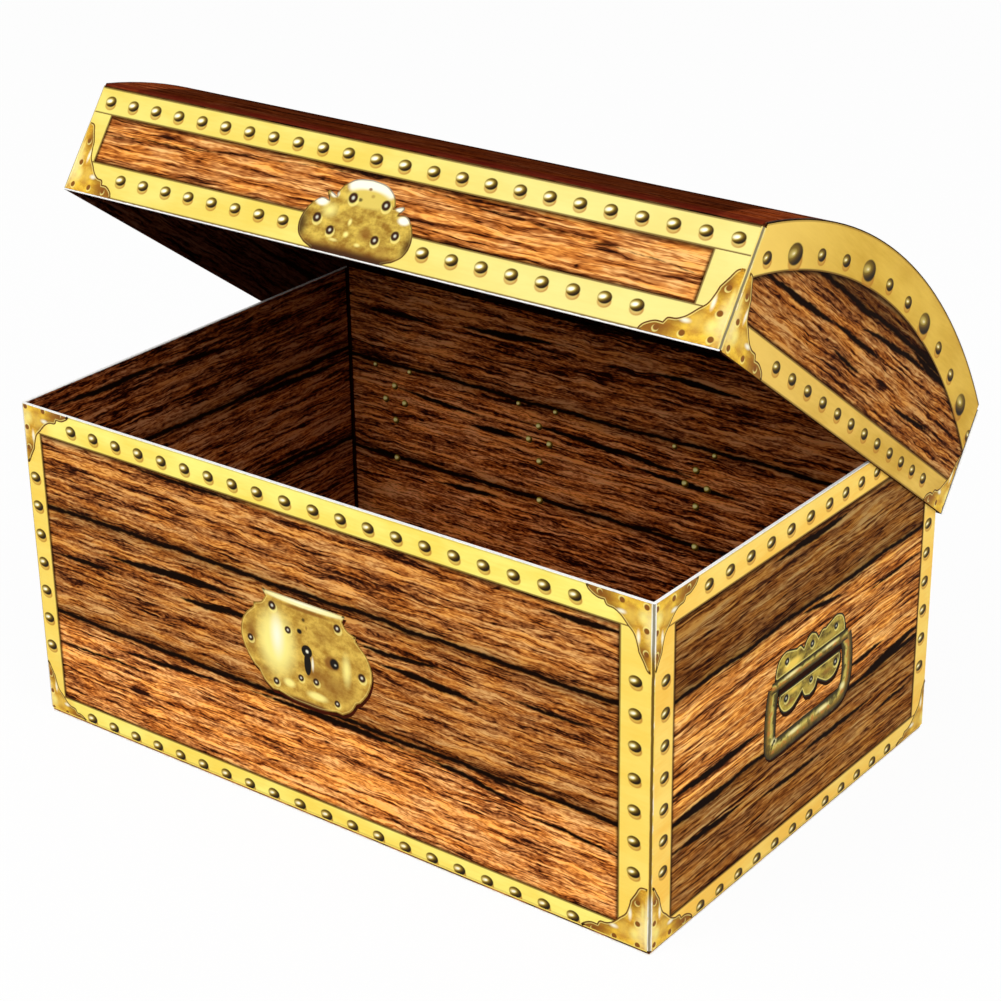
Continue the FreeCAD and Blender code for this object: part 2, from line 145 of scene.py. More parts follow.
class Ink:
    """One output socket of a paint's node tree."""
    __add__, __radd__ = operator("ADD")
    __sub__, __rsub__ = operator("SUBTRACT")
    __mul__, __rmul__ = operator("MULTIPLY")
    __truediv__, __rtruediv__ = operator("DIVIDE")
    __gt__, __lt__ = operator("GREATER_THAN")
    least = operator("MINIMUM")[0]
    most = operator("MAXIMUM")[0]
    angle = operator("ARCTAN2")[0]

    def __init__(self, paint, socket):
        self.paint = paint
        self.socket = socket

    def __abs__(self):
        return self.paint.maths("ABSOLUTE", self)

    def repeat(self):
        """The place within a repeat of length 1, from 0 to 1."""
        return self.paint.maths("FRACT", self)

    def whole(self):
        return self.paint.maths("FLOOR", self)

    def root(self):
        return self.paint.maths("SQRT", self)

    def ramp(self, start, end):
        """0 before start and 1 past end, with a soft step between; it falls where start is the larger."""
        return self.paint.node("ShaderNodeMapRange", {"interpolation_type": "SMOOTHSTEP"},
                               {"Value": self, "From Min": start, "From Max": end})


def reach(x, y):
    """The distance of a place from the origin."""
    return (x * x + y * y).root()


def blot(along, up, x, y, half_wide, half_high):
    """How far a place lies from the middle of an ellipse, which ends at 1."""
    return reach((along - x) / half_wide, (up - y) / half_high)


print("Ink has its operators")

# %% Paint: a node tree that is being written
class Paint:
    """A node tree that is being written: a material's or the world's."""

    def __init__(self, tree):
        self.tree = tree

    def node(self, kind, settings=None, inputs=None, output=0):
        """Any node: its settings first, then the values or links of its sockets."""
        node = self.tree.nodes.new(kind)
        for name, value in (settings or {}).items():
            if name == "stops":
                for _ in value[2:]:
                    node.color_ramp.elements.new(0.5)
                for element, (position, tint) in zip(node.color_ramp.elements, value):
                    element.position = position
                    element.color = tint
            else:
                setattr(node, name, value)
        for name, value in (inputs or {}).items():
            if isinstance(value, Ink):
                self.tree.links.new(value.socket, node.inputs[name])
            else:
                node.inputs[name].default_value = value
        return Ink(self, node.outputs[output])

    def maths(self, operation, first, second=0.0):
        return self.node("ShaderNodeMath", {"operation": operation}, {0: first, 1: second})

    def mix(self, share, first, second):
        """A colour that goes from the first to the second as share goes from 0 to 1."""
        return self.node("ShaderNodeMix", {"data_type": "RGBA"}, {0: share, 6: first, 7: second}, output=2)

    def dim(self, tint, factor):
        """A colour times a number."""
        return self.node("ShaderNodeVectorMath", {"operation": "SCALE"}, {0: tint, "Scale": factor})

    def vectors(self, operation, first, second, output=0):
        """Two colours or two places, worked on channel by channel."""
        return self.node("ShaderNodeVectorMath", {"operation": operation}, {0: first, 1: second}, output)

    def stops(self, value, *stops):
        """A colour read from a ramp."""
        return self.node("ShaderNodeValToRGB", {"stops": stops}, {0: value})

    def cloud(self, x, y, seed, detail=2.0, roughness=0.5):
        """Smooth noise about 0.5, whose features are about one unit long."""
        place = self.node("ShaderNodeCombineXYZ", None, {0: x, 1: y, 2: seed})
        return self.node("ShaderNodeTexNoise", None,
                         {"Vector": place, "Scale": 1.0, "Detail": detail, "Roughness": roughness})

    def map(self, name):
        """The two coordinates of one of a mesh's maps, in millimetres or in repeats."""
        place = self.node("ShaderNodeUVMap", {"uv_map": name})
        split = self.node("ShaderNodeSeparateXYZ", None, {0: place})
        return split, Ink(self, split.socket.node.outputs[1])


print("Paint has its nodes")

# %% [markdown]
# Ink on card has a faint tooth from the board and a dull gloss that varies a little. Every print shares
# both, so a paint for prints starts with them, and the formulas below only work out a colour. The wood is
# printed nearly matt, and the gilt has a trace more shine.

# %% Ink on card
INK_ROUGHNESS = 0.55
ROUGHNESS_RANGE = 0.25
RUB_SCALE = 60.0
MATT = 0.008
SATIN = 0.08
TOOTH_SCALE = 2600.0
TOOTH_HEIGHT = 0.00003
TOOTH_STRENGTH = 0.25


def shade(red, green, blue):
    """A colour as it looks on the sheet, 0 to 255, turned into the linear light that shaders use."""
    return (*Color((red / 255, green / 255, blue / 255)).from_srgb_to_scene_linear(), 1.0)


class Printed(Paint):
    """A new material of ink on card: a faint tooth, and a gloss that varies a little."""

    def __init__(self, name, shine=SATIN):
        self.material = bpy.data.materials.new(name)
        self.material.use_nodes = True
        super().__init__(self.material.node_tree)
        self.shader = self.tree.nodes["Principled BSDF"]
        self.shader.inputs["Specular IOR Level"].default_value = shine
        place = self.node("ShaderNodeTexCoord", output="Object")
        tooth = self.node("ShaderNodeTexNoise", None, {"Vector": place, "Scale": TOOTH_SCALE, "Detail": 1.0})
        rub = self.node("ShaderNodeTexNoise", None, {"Vector": place, "Scale": RUB_SCALE, "Detail": 2.0})
        bump = self.node("ShaderNodeBump", None,
                         {"Strength": TOOTH_STRENGTH, "Distance": TOOTH_HEIGHT, "Height": tooth})
        self.feed("Normal", bump)
        self.feed("Roughness", (rub - 0.5) * ROUGHNESS_RANGE + INK_ROUGHNESS)

    def feed(self, socket, ink):
        """Link an ink to one of the shader's sockets."""
        self.tree.links.new(ink.socket, self.shader.inputs[socket])

    def coloured(self, colour):
        """Give the ink its colour; the material is then finished."""
        self.feed("Base Color", colour)
        return self.material


print("ink on card: shine", MATT, "to", SATIN)

# %% [markdown]
# ## Floor, background and light
# The picture is a cut-out on white. A pale floor gives the chest something to stand on, and a share of
# plain white that only the camera and reflections see keeps the background white without any more light on
# the card. Three large soft lamps and an even sky light it as a studio does.

# %% Floor and sky
WHITE = (1, 1, 1, 1)
FLOOR_HALF = 6.0
FLOOR_GREY = shade(244, 244, 244)
FLOOR_ROUGHNESS = 0.9
FLOOR_WHITE = 0.95
SKY_STRENGTH = 0.45


def background_rays(paint):
    """1 for rays that should see the plain background: the camera's, and those in reflections."""
    seen = paint.node("ShaderNodeLightPath", output="Is Camera Ray")
    outputs = seen.socket.node.outputs
    return seen.most(Ink(paint, outputs["Is Glossy Ray"])).most(Ink(paint, outputs["Is Transmission Ray"]))


floor_mesh = bpy.data.meshes.new("floor")
floor_sheet = bmesh.new()
bmesh.ops.create_grid(floor_sheet, x_segments=4, y_segments=4, size=FLOOR_HALF)
floor_sheet.to_mesh(floor_mesh)
floor = add_object("floor", floor_mesh)

floor_material = bpy.data.materials.new("floor_white")
floor_material.use_nodes = True
floor_paint = Paint(floor_material.node_tree)
floor_shader = floor_material.node_tree.nodes["Principled BSDF"]
floor_shader.inputs["Base Color"].default_value = FLOOR_GREY
floor_shader.inputs["Roughness"].default_value = FLOOR_ROUGHNESS
floor_shader.inputs["Specular IOR Level"].default_value = 0.0
white = floor_paint.node("ShaderNodeEmission", None, {"Color": WHITE, "Strength": 1.0})
share = background_rays(floor_paint) * FLOOR_WHITE
floor_surface = floor_paint.node("ShaderNodeMixShader", None,
                                 {0: share, 1: Ink(floor_paint, floor_shader.outputs[0]), 2: white})
floor_paint.tree.links.new(floor_surface.socket, floor_paint.tree.nodes["Material Output"].inputs[0])
floor_mesh.materials.append(floor_material)

world = bpy.data.worlds.new("studio")
world.use_nodes = True
sky = Paint(world.node_tree)
sky_strength = background_rays(sky) * (1 - SKY_STRENGTH) + SKY_STRENGTH
sky_light = sky.node("ShaderNodeBackground", None, {"Color": WHITE, "Strength": sky_strength})
world.node_tree.links.new(sky_light.socket, world.node_tree.nodes["World Output"].inputs[0])
bpy.context.scene.world = world
bpy.context.scene.view_settings.view_transform = "Standard"
print("floor", 2 * FLOOR_HALF, "m wide, sky", SKY_STRENGTH)

# %% Lamps
CHEST_MIDDLE = Vector((0, 0, 0.07))


def lamp(name, place, size, power):
    """A square soft box that faces the chest."""
    light = bpy.data.lights.new(name, "AREA")
    light.size = size
    light.energy = power
    holder = add_object(name, light)
    facing = (CHEST_MIDDLE - Vector(place)).to_track_quat("-Z", "Y").to_matrix().to_4x4()
    holder.matrix_world = Matrix.Translation(place) @ facing


lamp("key_lamp", (-0.35, -1.25, 1.15), size=0.9, power=12)
lamp("side_lamp", (1.35, -0.35, 0.75), size=0.8, power=9)
lamp("top_lamp", (0.1, -0.1, 1.6), size=0.9, power=3)
print("three lamps")

# %% [markdown]
# ## Sides
# A panel has an outer and an inner side, and both the ink films and the shaders need to know where a place
# is on it. A Side keeps one flat side's origin and directions: it turns millimetres into points for a mesh,
# and gives a shader the same millimetres back from the card's own coordinates.

# %% Sides of the box and of the lid
X, Y, Z = Vector((1, 0, 0)), Vector((0, 1, 0)), Vector((0, 0, 1))


def placed(body, point):
    """A point in millimetres, in metres of the frame; a lid's point is given as if the lid were shut."""
    return shut_to_open @ (point * MM) if body == "lid" else point * MM


@dataclass
class Side:
    """A flat side: along and up run over it, and out points away from the card. Millimetres."""
    origin: Vector
    along: Vector
    out: Vector
    body: str = "root"
    up: Vector = Z

    def point(self, along, up, lift=0.0):
        """A place on the side, raised above the card by lift."""
        return placed(self.body, self.origin + self.along * along + self.up * up + self.out * lift)

    def turned(self):
        """True where along and up run clockwise, seen from outside."""
        return self.along.cross(self.up).dot(self.out) < 0


FRONT = Side(-half_depth * Y, X, -Y)
BACK = Side(half_depth * Y, X, Y)
RIGHT = Side(half_width * X, Y, X)
LEFT = Side(-half_width * X, Y, -X)
FLOOR = Side(0 * Z, X, -Z, up=Y)
INSIDE_BACK = Side((half_depth - board) * Y, X, -Y)
LID_FRONT = Side(-lid_depth * Y, X, -Y, "lid")
LID_BACK = Side(0 * Y, X, Y, "lid")
LID_RIGHT = Side(lid_half_width * X, Y, X, "lid")
LID_LEFT = Side(-lid_half_width * X, Y, -X, "lid")


def card_place(paint, body):
    """The place in the card, in millimetres: from the origin, or from the crease as if the lid were shut."""
    spot = paint.node("ShaderNodeTexCoord", output="Object")
    if body == "lid":
        spot = paint.node("ShaderNodeVectorRotate", {"rotation_type": "X_AXIS"},
                          {"Vector": spot, "Center": crease, "Angle": lid_opening})
        spot = paint.vectors("SUBTRACT", spot, crease)
    return paint.dim(spot, 1 / MM)


def distance(paint, place, origin, direction):
    """How far a place lies from an origin, along one direction."""
    return paint.vectors("DOT_PRODUCT", paint.vectors("SUBTRACT", place, origin), direction, "Value")


print("ten sides")

# %% [markdown]
# ## Planks
# The print shows rough-sawn planks: short wavy fibres, dark joints between the planks and long tapering
# cracks. One photograph of wood would do it, but a formula needs no picture and can be laid out afresh for
# each panel. Noise that is stretched along the grain gives the fibres. The grain bends by adding slower
# noise to the place before the fibres are read. Joints and cracks are thin lens shapes with ragged edges, a
# joint has a stain beside it, and one more slow noise turns the wood from grey to red in places.

# %% Wood tones, and what a layout of planks says
BARE_BOARD = shade(255, 254, 250)
CRACK_DARK = shade(20, 8, 3)
GREY_WOOD = (0.98, 1.05, 1.28, 1.0)
RED_WOOD = (1.05, 0.94, 0.72, 1.0)
WOOD_STOPS = (
    (0.10, shade(34, 12, 4)), (0.26, shade(84, 38, 13)), (0.40, shade(130, 71, 29)),
    (0.52, shade(164, 98, 45)), (0.66, shade(190, 122, 58)), (0.90, shade(232, 170, 94)),
)


@dataclass
class Planks:
    """A layout of planks: joints from the foot up, the planks' tones, and cracks and knots in millimetres.

    Washes are soft places that are lighter or darker, and inside the box they are painted shade: (middle,
    height, half length, half height, change).
    Tint colours all the wood, contrast scales its light and dark, and stretch makes the fibres longer.
    """
    joints: tuple
    tones: tuple
    seed: float
    cracks: tuple
    knots: tuple = ()
    tint: tuple = (1.0, 1.0, 1.0)
    washes: tuple = ()
    contrast: float = 1.0
    stretch: float = 1.0


print("tones of wood:", len(WOOD_STOPS))

# %% Plank formula
WOOD_MIDDLE = 0.575
JOINT_HALF_WIDTH = 0.6
JOINT_SOFTNESS = 0.2
JOINT_STAIN = 4.5
STAIN_STRENGTH = 0.4
PLANK_SEED_STEP = 7.7
LENS_TAIL = -0.8
KNOT_SIZE = (3.4, 1.4)
KNOT_DEPTH = 0.45


def lens(along, up, middle, height, half_length, half_width, rise=0.0):
    """How deep a place lies inside a long thin lens, in millimetres; negative outside it."""
    run = (along - middle) / half_length
    taper = (1 - run * run).most(LENS_TAIL) * half_width
    return taper - abs(up - height - run * rise)


def grain(paint, along, up, plank, planks):
    """How far across the bent fibres a place lies, and how light they are there.

    Each noise divides the place by the length and the width of its features, in millimetres.
    """
    run = along / planks.stretch
    bend = (paint.cloud(along / 70, up / 24, plank, 1.0) - 0.5) * 1.8
    ripple = (paint.cloud(run / 9, up / 3, plank) - 0.5) * 2.2
    across = up + bend + ripple
    streaks = paint.cloud(run / 34, across / 1.3, plank, 4.0, 0.6) - 0.5
    fibres = paint.cloud(run / 9, across / 0.75, plank + 3.1, 3.0, 0.6) - 0.5
    grit = paint.cloud(run / 1.5, across / 0.45, plank + 6.3, 1.0) - 0.5
    patches = paint.cloud(along / 24, across / 6.0, plank) - 0.5
    checks = paint.cloud(run / 13, across / 0.7, plank + 2.5).ramp(0.58, 0.7)
    rings = abs(paint.cloud(along / 32, across / 1.9, plank + 9.2) - 0.5).ramp(0.03, 0.0)
    rings = rings * paint.cloud(along / 14, up / 4, plank + 1.7).ramp(0.4, 0.55)
    value = streaks * 1.8 + fibres * 1.6 + grit * 0.8 + patches * 0.5 - checks * 0.2 - rings * 0.3
    return across, value * planks.contrast + WOOD_MIDDLE


def plank_colour(paint, along, up, planks):
    """The colour of the planks at a place."""
    wander = (paint.cloud(along / 17, up / 12, planks.seed) - 0.5) * 2.4
    level = up + wander
    tone, plank, stains = planks.tones[0], planks.seed, []
    gaps = [lens(along, level, *crack) for crack in planks.cracks]
    for joint, below, above in zip(planks.joints, planks.tones, planks.tones[1:]):
        over = level.ramp(joint - JOINT_SOFTNESS, joint + JOINT_SOFTNESS)
        tone = over * (above - below) + tone
        plank = over * PLANK_SEED_STEP + plank
        gaps.append(JOINT_HALF_WIDTH - abs(level - joint))
        stains.append(gaps[-1].ramp(-JOINT_STAIN, 0.5))

    across, value = grain(paint, along, up, plank, planks)
    for *ellipse, change in planks.washes:
        value = blot(along, up, *ellipse).ramp(1.0, 0.0) * change + value
    for knot in planks.knots:
        value = value - lens(along, level, *knot, *KNOT_SIZE).ramp(-1.0, 1.0) * KNOT_DEPTH
    warmth = paint.cloud(along / 12, across / 2.4, plank + 8.4, 3.0).ramp(0.36, 0.64)
    hue = paint.vectors("MULTIPLY", paint.mix(warmth, GREY_WOOD, RED_WOOD), planks.tint)
    wood = paint.vectors("MULTIPLY", paint.dim(paint.stops(value, *WOOD_STOPS), tone), hue)
    if stains:
        wood = paint.mix(reduce(Ink.most, stains) * STAIN_STRENGTH, wood, CRACK_DARK)
    ragged = paint.cloud(along / 2.4, up / 0.9, planks.seed + 4) - 0.5
    return paint.mix((reduce(Ink.most, gaps) + ragged).ramp(-0.45, 0.25), wood, CRACK_DARK)


# %% [markdown]
# ## Layouts of the planks
# Each panel has its own drawing, so joints, cracks and knots are lists in millimetres: the middle of a
# crack, its height, half its length, half its width, and how much it rises. Along is measured from the
# middle of a wall, or from the crease on a lid end.

# %% Layouts of the planks
FRONT_WINDOW = (-95.0, 92.2, 6.5, 86.3)
END_WINDOW = (-58.5, 60.2, 6.8, 85.8)
LIP_WINDOW = (-95.4, 92.3, 9.0, 22.1)
ARCH_BAND = 11.8
LID_END_FOOT = 8.7

FRONT_PLANKS = Planks(
    joints=(33.6, 65.7), tones=(1.45, 0.92, 1.0), seed=2.0,
    cracks=(
        (-49, 57.4, 25, 1.1, 0.8), (-34, 52.5, 13, 0.9, 1.0), (-82, 51.8, 12, 0.6, 0.2),
        (27, 57.4, 14, 0.7, 0.4), (36, 53.0, 17, 0.9, -0.8), (74, 56.8, 12, 0.5, 0.2),
        (-52, 29.6, 18, 0.6, 1.2), (49, 30.2, 15, 0.7, -1.5), (-80, 24.5, 16, 0.4, 0.2),
        (79, 25.6, 14, 0.5, -0.8), (82, 83.8, 12, 0.8, 0.3), (-40, 85.3, 20, 0.5, 0.0),
        (4, 31.9, 26, 0.8, 0.0),
    ),
    knots=((-65, 18.6),), washes=((20, 12, 80, 14, 0.12),),
)
BACK_PLANKS = Planks(
    joints=(33.0, 65.0), tones=(1.45, 1.05, 1.2), seed=31.0, knots=((30, 19),),
    cracks=(
        (40, 56, 22, 0.9, 0.8), (-30, 51, 16, 0.8, -0.8), (52, 24, 18, 0.7, 0.6), (-60, 74, 20, 0.7, 0.5),
    ),
)
END_PLANKS = Planks(
    joints=(32.0, 65.0), tones=(0.68, 1.4, 0.56), seed=11.0, tint=(0.99, 1.09, 1.06),
    contrast=0.9, stretch=1.8, washes=((6, 45, 34, 18, -0.1),),
    cracks=(
        (-40, 39.0, 22, 1.0, -0.3), (32, 38.2, 9, 0.7, 0.0), (9, 62.6, 10, 0.7, -1.2),
        (47, 56.8, 13, 0.5, 0.0), (-43, 23.4, 16, 0.8, -0.7), (18, 23.5, 19, 0.8, 0.0),
        (-4, 19.3, 16, 0.7, -0.5), (48, 18.4, 11, 0.5, 0.3), (2, 83.6, 17, 1.1, 0.0),
        (-46, 32.0, 16, 1.3, 0.0), (45, 33.2, 17, 1.4, 1.6),
    ),
)
LIP_PLANKS = Planks(joints=(), tones=(1.24,), seed=21.0, knots=((65.5, 16.9),), contrast=0.92, stretch=1.8,
                    cracks=((-62, 18.5, 16, 0.05, 0.9), (34, 19.2, 14, 0.05, -0.8)),
                    washes=((62, 15, 60, 24, 0.08),))
LID_END_PLANKS = Planks(
    joints=(30.6,), tones=(0.78, 0.4), seed=41.0, knots=((-60, 17.7),), stretch=1.5,
    cracks=((-58, 27.4, 22, 0.7, 1.2), (-112, 21.4, 19, 0.9, 0.6), (-80, 22.6, 16, 0.7, 0.4),
            (-36, 29.2, 14, 0.9, -0.6), (-82, 16.6, 8, 0.5, 0.0), (-38, 15.2, 13, 0.6, 0.3)),
)
# The washes on the inside back are painted shade: a dark line down the corner by the left wall, a darker
# strip along the top under the open lid, and darker wood towards the lower right.
INSIDE_BACK_PLANKS = Planks(
    joints=(35.4, 65.9), tones=(1.2, 1.12, 1.0), seed=51.0, tint=(1.0, 0.78, 0.82), contrast=1.25,
    washes=((1 - half_width, 47, 0.9, 300, -1.5), (0, 95, 200, 9, -0.2), (72, 12, 115, 46, -0.32)),
    cracks=(
        (-39, 85, 18, 1.0, 1.0), (27, 84.6, 15, 0.9, -0.5), (-44, 53.6, 10, 1.0, 0.0),
        (24, 54, 19, 0.9, -0.4), (-66, 57.6, 16, 0.7, -0.6), (-4, 57.8, 30, 1.0, -1.2),
        (-55, 31.7, 12, 0.8, 0.6), (-82, 82.5, 14, 0.7, 0.0),
    ),
)
# The washes on the inside of the ends are painted shade too: a dark line down the corner by the back wall,
# and darker wood towards the top.
INSIDE_END_PLANKS = Planks(
    joints=(38.0, 67.7), tones=(0.68, 0.72, 0.64), seed=61.0, tint=(1.0, 0.75, 0.85), contrast=1.25,
    washes=((half_depth - 1, 47, 0.9, 300, -1.5), (0, 94, 120, 28, -0.14)),
    cracks=(
        (-35, 88.6, 22, 0.9, -0.6), (-3, 86.3, 10, 0.8, -0.4), (38, 65.2, 27, 0.9, -1.0),
        (40, 40.5, 20, 0.8, -1.0),
    ),
)
INSIDE_FRONT_PLANKS = Planks(
    joints=(34.0, 66.0), tones=(0.9, 0.85, 0.8), seed=71.0, tint=(1.0, 0.8, 0.85),
    cracks=((-30, 55, 18, 0.9, 0.5), (44, 52, 15, 0.8, -0.6), (10, 24, 20, 0.8, 0.4)),
)
FLOOR_PLANKS = Planks(joints=(-22.0, 21.0), tones=(0.7, 0.75, 0.7), seed=75.0, tint=(1.0, 0.8, 0.85),
                      cracks=((20, 4, 30, 0.9, 0.6),))
# The lid's inside is very dark: partly its own dark print, partly painted shade for the underside of the
# open lid.
LID_INSIDE_PLANKS = Planks(joints=(), tones=(0.14,), seed=81.0, tint=(1.0, 0.7, 1.2),
                           cracks=((-30, 14, 40, 0.7, 0.6),))
ROOF_PLANKS = Planks(joints=(-48.0, -16.0, 17.0, 49.0), tones=(0.19, 0.17, 0.18, 0.17, 0.18), seed=91.0,
                     tint=(1.0, 0.52, 0.55), contrast=0.6,
                     cracks=((-40, -60, 30, 0.6, 1.0), (30, -30, 30, 0.7, -1.0), (-20, 8, 34, 0.7, 0.8)))
print("plank layouts: 11")

# %% [markdown]
# ## Card panels
# Each panel is one CAD plate: planks outside, a darker plank print inside, and bare white board on the cut
# edges. Where the place lies in the thickness decides between the two prints, and the print stops a hair
# short of a cut edge, as it does on the real sheet. Under the bands' inner edges the print has a painted
# shadow.

# %% Card panels
SHADOW_REACH = 1.1
SHADOW_STRENGTH = 0.9
UPPER_SHADOW = 0.7
PRINT_MARGIN = 0.2
MARGIN_SOFTNESS = 0.1
MARGIN_RAGGEDNESS = 0.3
LID_EDGE = 0.05


def bare_colour(paint, along, up):
    """White board with a little fibre in it."""
    fibre = paint.cloud(along / 3, up / 3, 7.0, 3.0)
    return paint.mix(fibre.ramp(0.35, 0.65), shade(244, 240, 230), BARE_BOARD)


def window_gap(window):
    """How far inside four bands a place lies; the shadow under the upper band is the deepest."""
    left, right, foot, top = window

    def gap(along, up):
        return (along - left).least(right - along).least(up - foot).least((top - up) * UPPER_SHADOW)

    return gap


def arch_gap(along, up):
    """The same for an arched lid end: below the arch band and above the foot band."""
    height = reach(along - arch_centre[0], up - arch_centre[1])
    return ((arch_radius - ARCH_BAND - height) * UPPER_SHADOW).least(up - LID_END_FOOT)


def set_card(node, material):
    """Give a CAD piece its print."""
    card = frame["nodes"][node].data
    card.materials.clear()
    card.materials.append(material)


def print_panel(node, side, outer, inner, gap=None, edges=()):
    """Print both sides of a panel; edges are (direction, limit, sign) where the card was cut."""
    paint = Printed(f"{node}_card", MATT)
    place = card_place(paint, side.body)
    along = distance(paint, place, side.origin, side.along)
    up = distance(paint, place, side.origin, side.up)
    depth = distance(paint, place, side.origin, -side.out)
    outside = plank_colour(paint, along, up, outer) if outer else bare_colour(paint, along, up)
    if gap:
        shadow = gap(along, up).ramp(SHADOW_REACH, 0.0) * SHADOW_STRENGTH
        outside = paint.mix(shadow, outside, CRACK_DARK)
    inside = plank_colour(paint, along, up, inner)
    colour = paint.mix(depth > board / 2, outside, inside)
    ragged = (paint.cloud(along / 1.5, up / 1.5, 3.0) - 0.5) * MARGIN_RAGGEDNESS
    for direction, limit, sign in edges:
        past = ((along if direction == "along" else up) - limit) * sign + ragged
        margin = past.ramp(-PRINT_MARGIN - MARGIN_SOFTNESS, -PRINT_MARGIN + MARGIN_SOFTNESS)
        colour = paint.mix(margin, colour, BARE_BOARD)
    set_card(node, paint.coloured(colour))


RIM_EDGE = (("up", rim, 1),)
LIP_EDGE = (("up", LID_EDGE, -1),)
print_panel("front_panel", FRONT, FRONT_PLANKS, INSIDE_FRONT_PLANKS, window_gap(FRONT_WINDOW), RIM_EDGE)
# The back wall's top cut edge keeps the print instead of bare board, so it reads dark.
print_panel("back_panel", BACK, BACK_PLANKS, INSIDE_BACK_PLANKS, window_gap(FRONT_WINDOW))
print_panel("right_end_panel", RIGHT, END_PLANKS, INSIDE_END_PLANKS, window_gap(END_WINDOW),
            (*RIM_EDGE, ("along", half_depth, 1)))
print_panel("left_end_panel", LEFT, END_PLANKS, INSIDE_END_PLANKS, window_gap(END_WINDOW), RIM_EDGE)
print_panel("bottom_panel", FLOOR, None, FLOOR_PLANKS)
print_panel("lid_front_lip", LID_FRONT, LIP_PLANKS, LID_INSIDE_PLANKS, window_gap(LIP_WINDOW), LIP_EDGE)
print_panel("lid_back_lip", LID_BACK, LIP_PLANKS, LID_INSIDE_PLANKS, window_gap(LIP_WINDOW),
            (("along", lid_half_width, 1), ("along", -lid_half_width, -1)))
print_panel("lid_right_end", LID_RIGHT, LID_END_PLANKS, LID_INSIDE_PLANKS, arch_gap)
print_panel("lid_left_end", LID_LEFT, LID_END_PLANKS, LID_INSIDE_PLANKS, arch_gap)
print("printed panels: 9")

# %% [markdown]
# ## Roof and glue flaps
# The roof is one sheet bent into a barrel, printed almost black-brown with a trace of red, paler in a strip
# at each end and redder along its front edge. Its place is read as an arc length round the barrel, so the
# planks bend with the sheet. The glue flaps only ever show their inner print.

# %% Roof and glue flaps
ROOF_SHINE = 0.0
ROOF_STRIP = (89.4, 91.0)
ROOF_STRIP_GAIN = 1.7
ROOF_RED = shade(92, 24, 14)
RED_REACH = (6.0, 0.8)
RED_STRENGTH = 0.7
SIDE_SOFTNESS = 0.1
FLAPS = {
    "side_seam_flap": ("root", Y, Z, INSIDE_END_PLANKS),
    "hinge_flap": ("root", X, Z, BACK_PLANKS),
}
for edge in ("front", "left", "right"):
    FLAPS[f"bottom_{edge}_flap"] = ("root", X, Y, FLOOR_PLANKS)
for end in ("left", "right"):
    FLAPS[f"lid_{end}_roof_tabs"] = ("lid", Y, Z, LID_INSIDE_PLANKS)
    FLAPS[f"lid_{end}_back_flap"] = ("lid", X, Z, LID_INSIDE_PLANKS)
for node, (body, along_axis, up_axis, planks) in FLAPS.items():
    paint = Printed(f"{node}_card", MATT)
    place = card_place(paint, body)
    along = distance(paint, place, Vector(), along_axis)
    up = distance(paint, place, Vector(), up_axis)
    set_card(node, paint.coloured(plank_colour(paint, along, up, planks)))

paint = Printed("lid_roof_card", ROOF_SHINE)
place = card_place(paint, "lid")
along = distance(paint, place, Vector(), X)
run = distance(paint, place, arch_centre[0] * Y, Y)
climb = distance(paint, place, arch_centre[1] * Z, Z)
arc = run.angle(climb) * arch_radius
end_strip = abs(along).ramp(*ROOF_STRIP)
outside = paint.dim(plank_colour(paint, along, arc, ROOF_PLANKS), end_strip * ROOF_STRIP_GAIN + 1)
front_arc = math.atan2(-lid_depth / 2, lip - arch_centre[1]) * arch_radius
outside = paint.mix((arc - front_arc).ramp(*RED_REACH) * RED_STRENGTH, outside, ROOF_RED)
inside = plank_colour(paint, along, arc, LID_INSIDE_PLANKS)
mid_radius = arch_radius - board / 2
is_outside = reach(run, climb).ramp(mid_radius - SIDE_SOFTNESS, mid_radius)
set_card("lid_roof", paint.coloured(paint.mix(is_outside, inside, outside)))
print("roof and", len(FLAPS), "flaps")

# %% [markdown]
# ## Ink films
# Brass bands, plates, lock, hasp and handle are drawn with hard outlines, which a shader formula draws
# poorly. So each is a flat sheet cut to its outline, drawn in millimetres on a side and given the thickness
# of a film. Three maps tell the shader where it is: print is millimetres, studs counts the studs of a row,
# and rim is the distance from an edge.

# %% Drawing and laying films
INK = 0.03
BAND_LIFT = 0.035
PLATE_LIFT = 0.07
TRIM_LIFT = 0.105
MAPS = ("print", "studs", "rim")
CELL_MIDDLE = 0.5
CURVE_STEPS = 6


def new_sheet():
    """An empty sheet that has the three maps."""
    sheet = bmesh.new()
    for name in MAPS:
        sheet.loops.layers.uv.new(name)
    return sheet


def set_maps(sheet, loop, **places):
    """Write a corner's place in some of the maps."""
    for name, place in places.items():
        loop[sheet.loops.layers.uv[name]].uv = place


def make_film(name, sheet, body, material):
    """Turn a sheet into a piece as thick as ink, which rides on a body."""
    mesh = bpy.data.meshes.new(name)
    sheet.to_mesh(mesh)
    sheet.free()
    mesh.materials.append(material)
    piece = add_object(name, mesh)
    thickness = piece.modifiers.new("ink", "SOLIDIFY")
    thickness.thickness = INK * MM
    thickness.offset = -1.0
    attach(piece, body)


def lay(name, side, sheet, lift, material):
    """Lay a flat sheet, drawn in millimetres, on a side."""
    sheet.normal_update()
    for face in sheet.faces:
        if (face.normal.z < 0) != side.turned():
            face.normal_flip()
    for vertex in sheet.verts:
        vertex.co = side.point(vertex.co.x, vertex.co.y, lift + vertex.co.z)
    make_film(name, sheet, side.body, material)


def add_strip(sheet, rows):
    """Faces between rows of two corners; a corner is (x, y, {map: place})."""
    made = [[sheet.verts.new((x, y, 0)) for x, y, _ in row] for row in rows]
    for here, there, row, following in zip(made, made[1:], rows, rows[1:]):
        face = sheet.faces.new((here[0], there[0], there[1], here[1]))
        for loop, (x, y, maps) in zip(face.loops, (row[0], following[0], following[1], row[1])):
            set_maps(sheet, loop, print=(x, y), **maps)


def lay_strips(name, side, strips, lift, material):
    """Draw strips on a side as one film; a strip is its rows of corners."""
    sheet = new_sheet()
    for rows in strips:
        add_strip(sheet, list(rows))
    lay(name, side, sheet, lift, material)


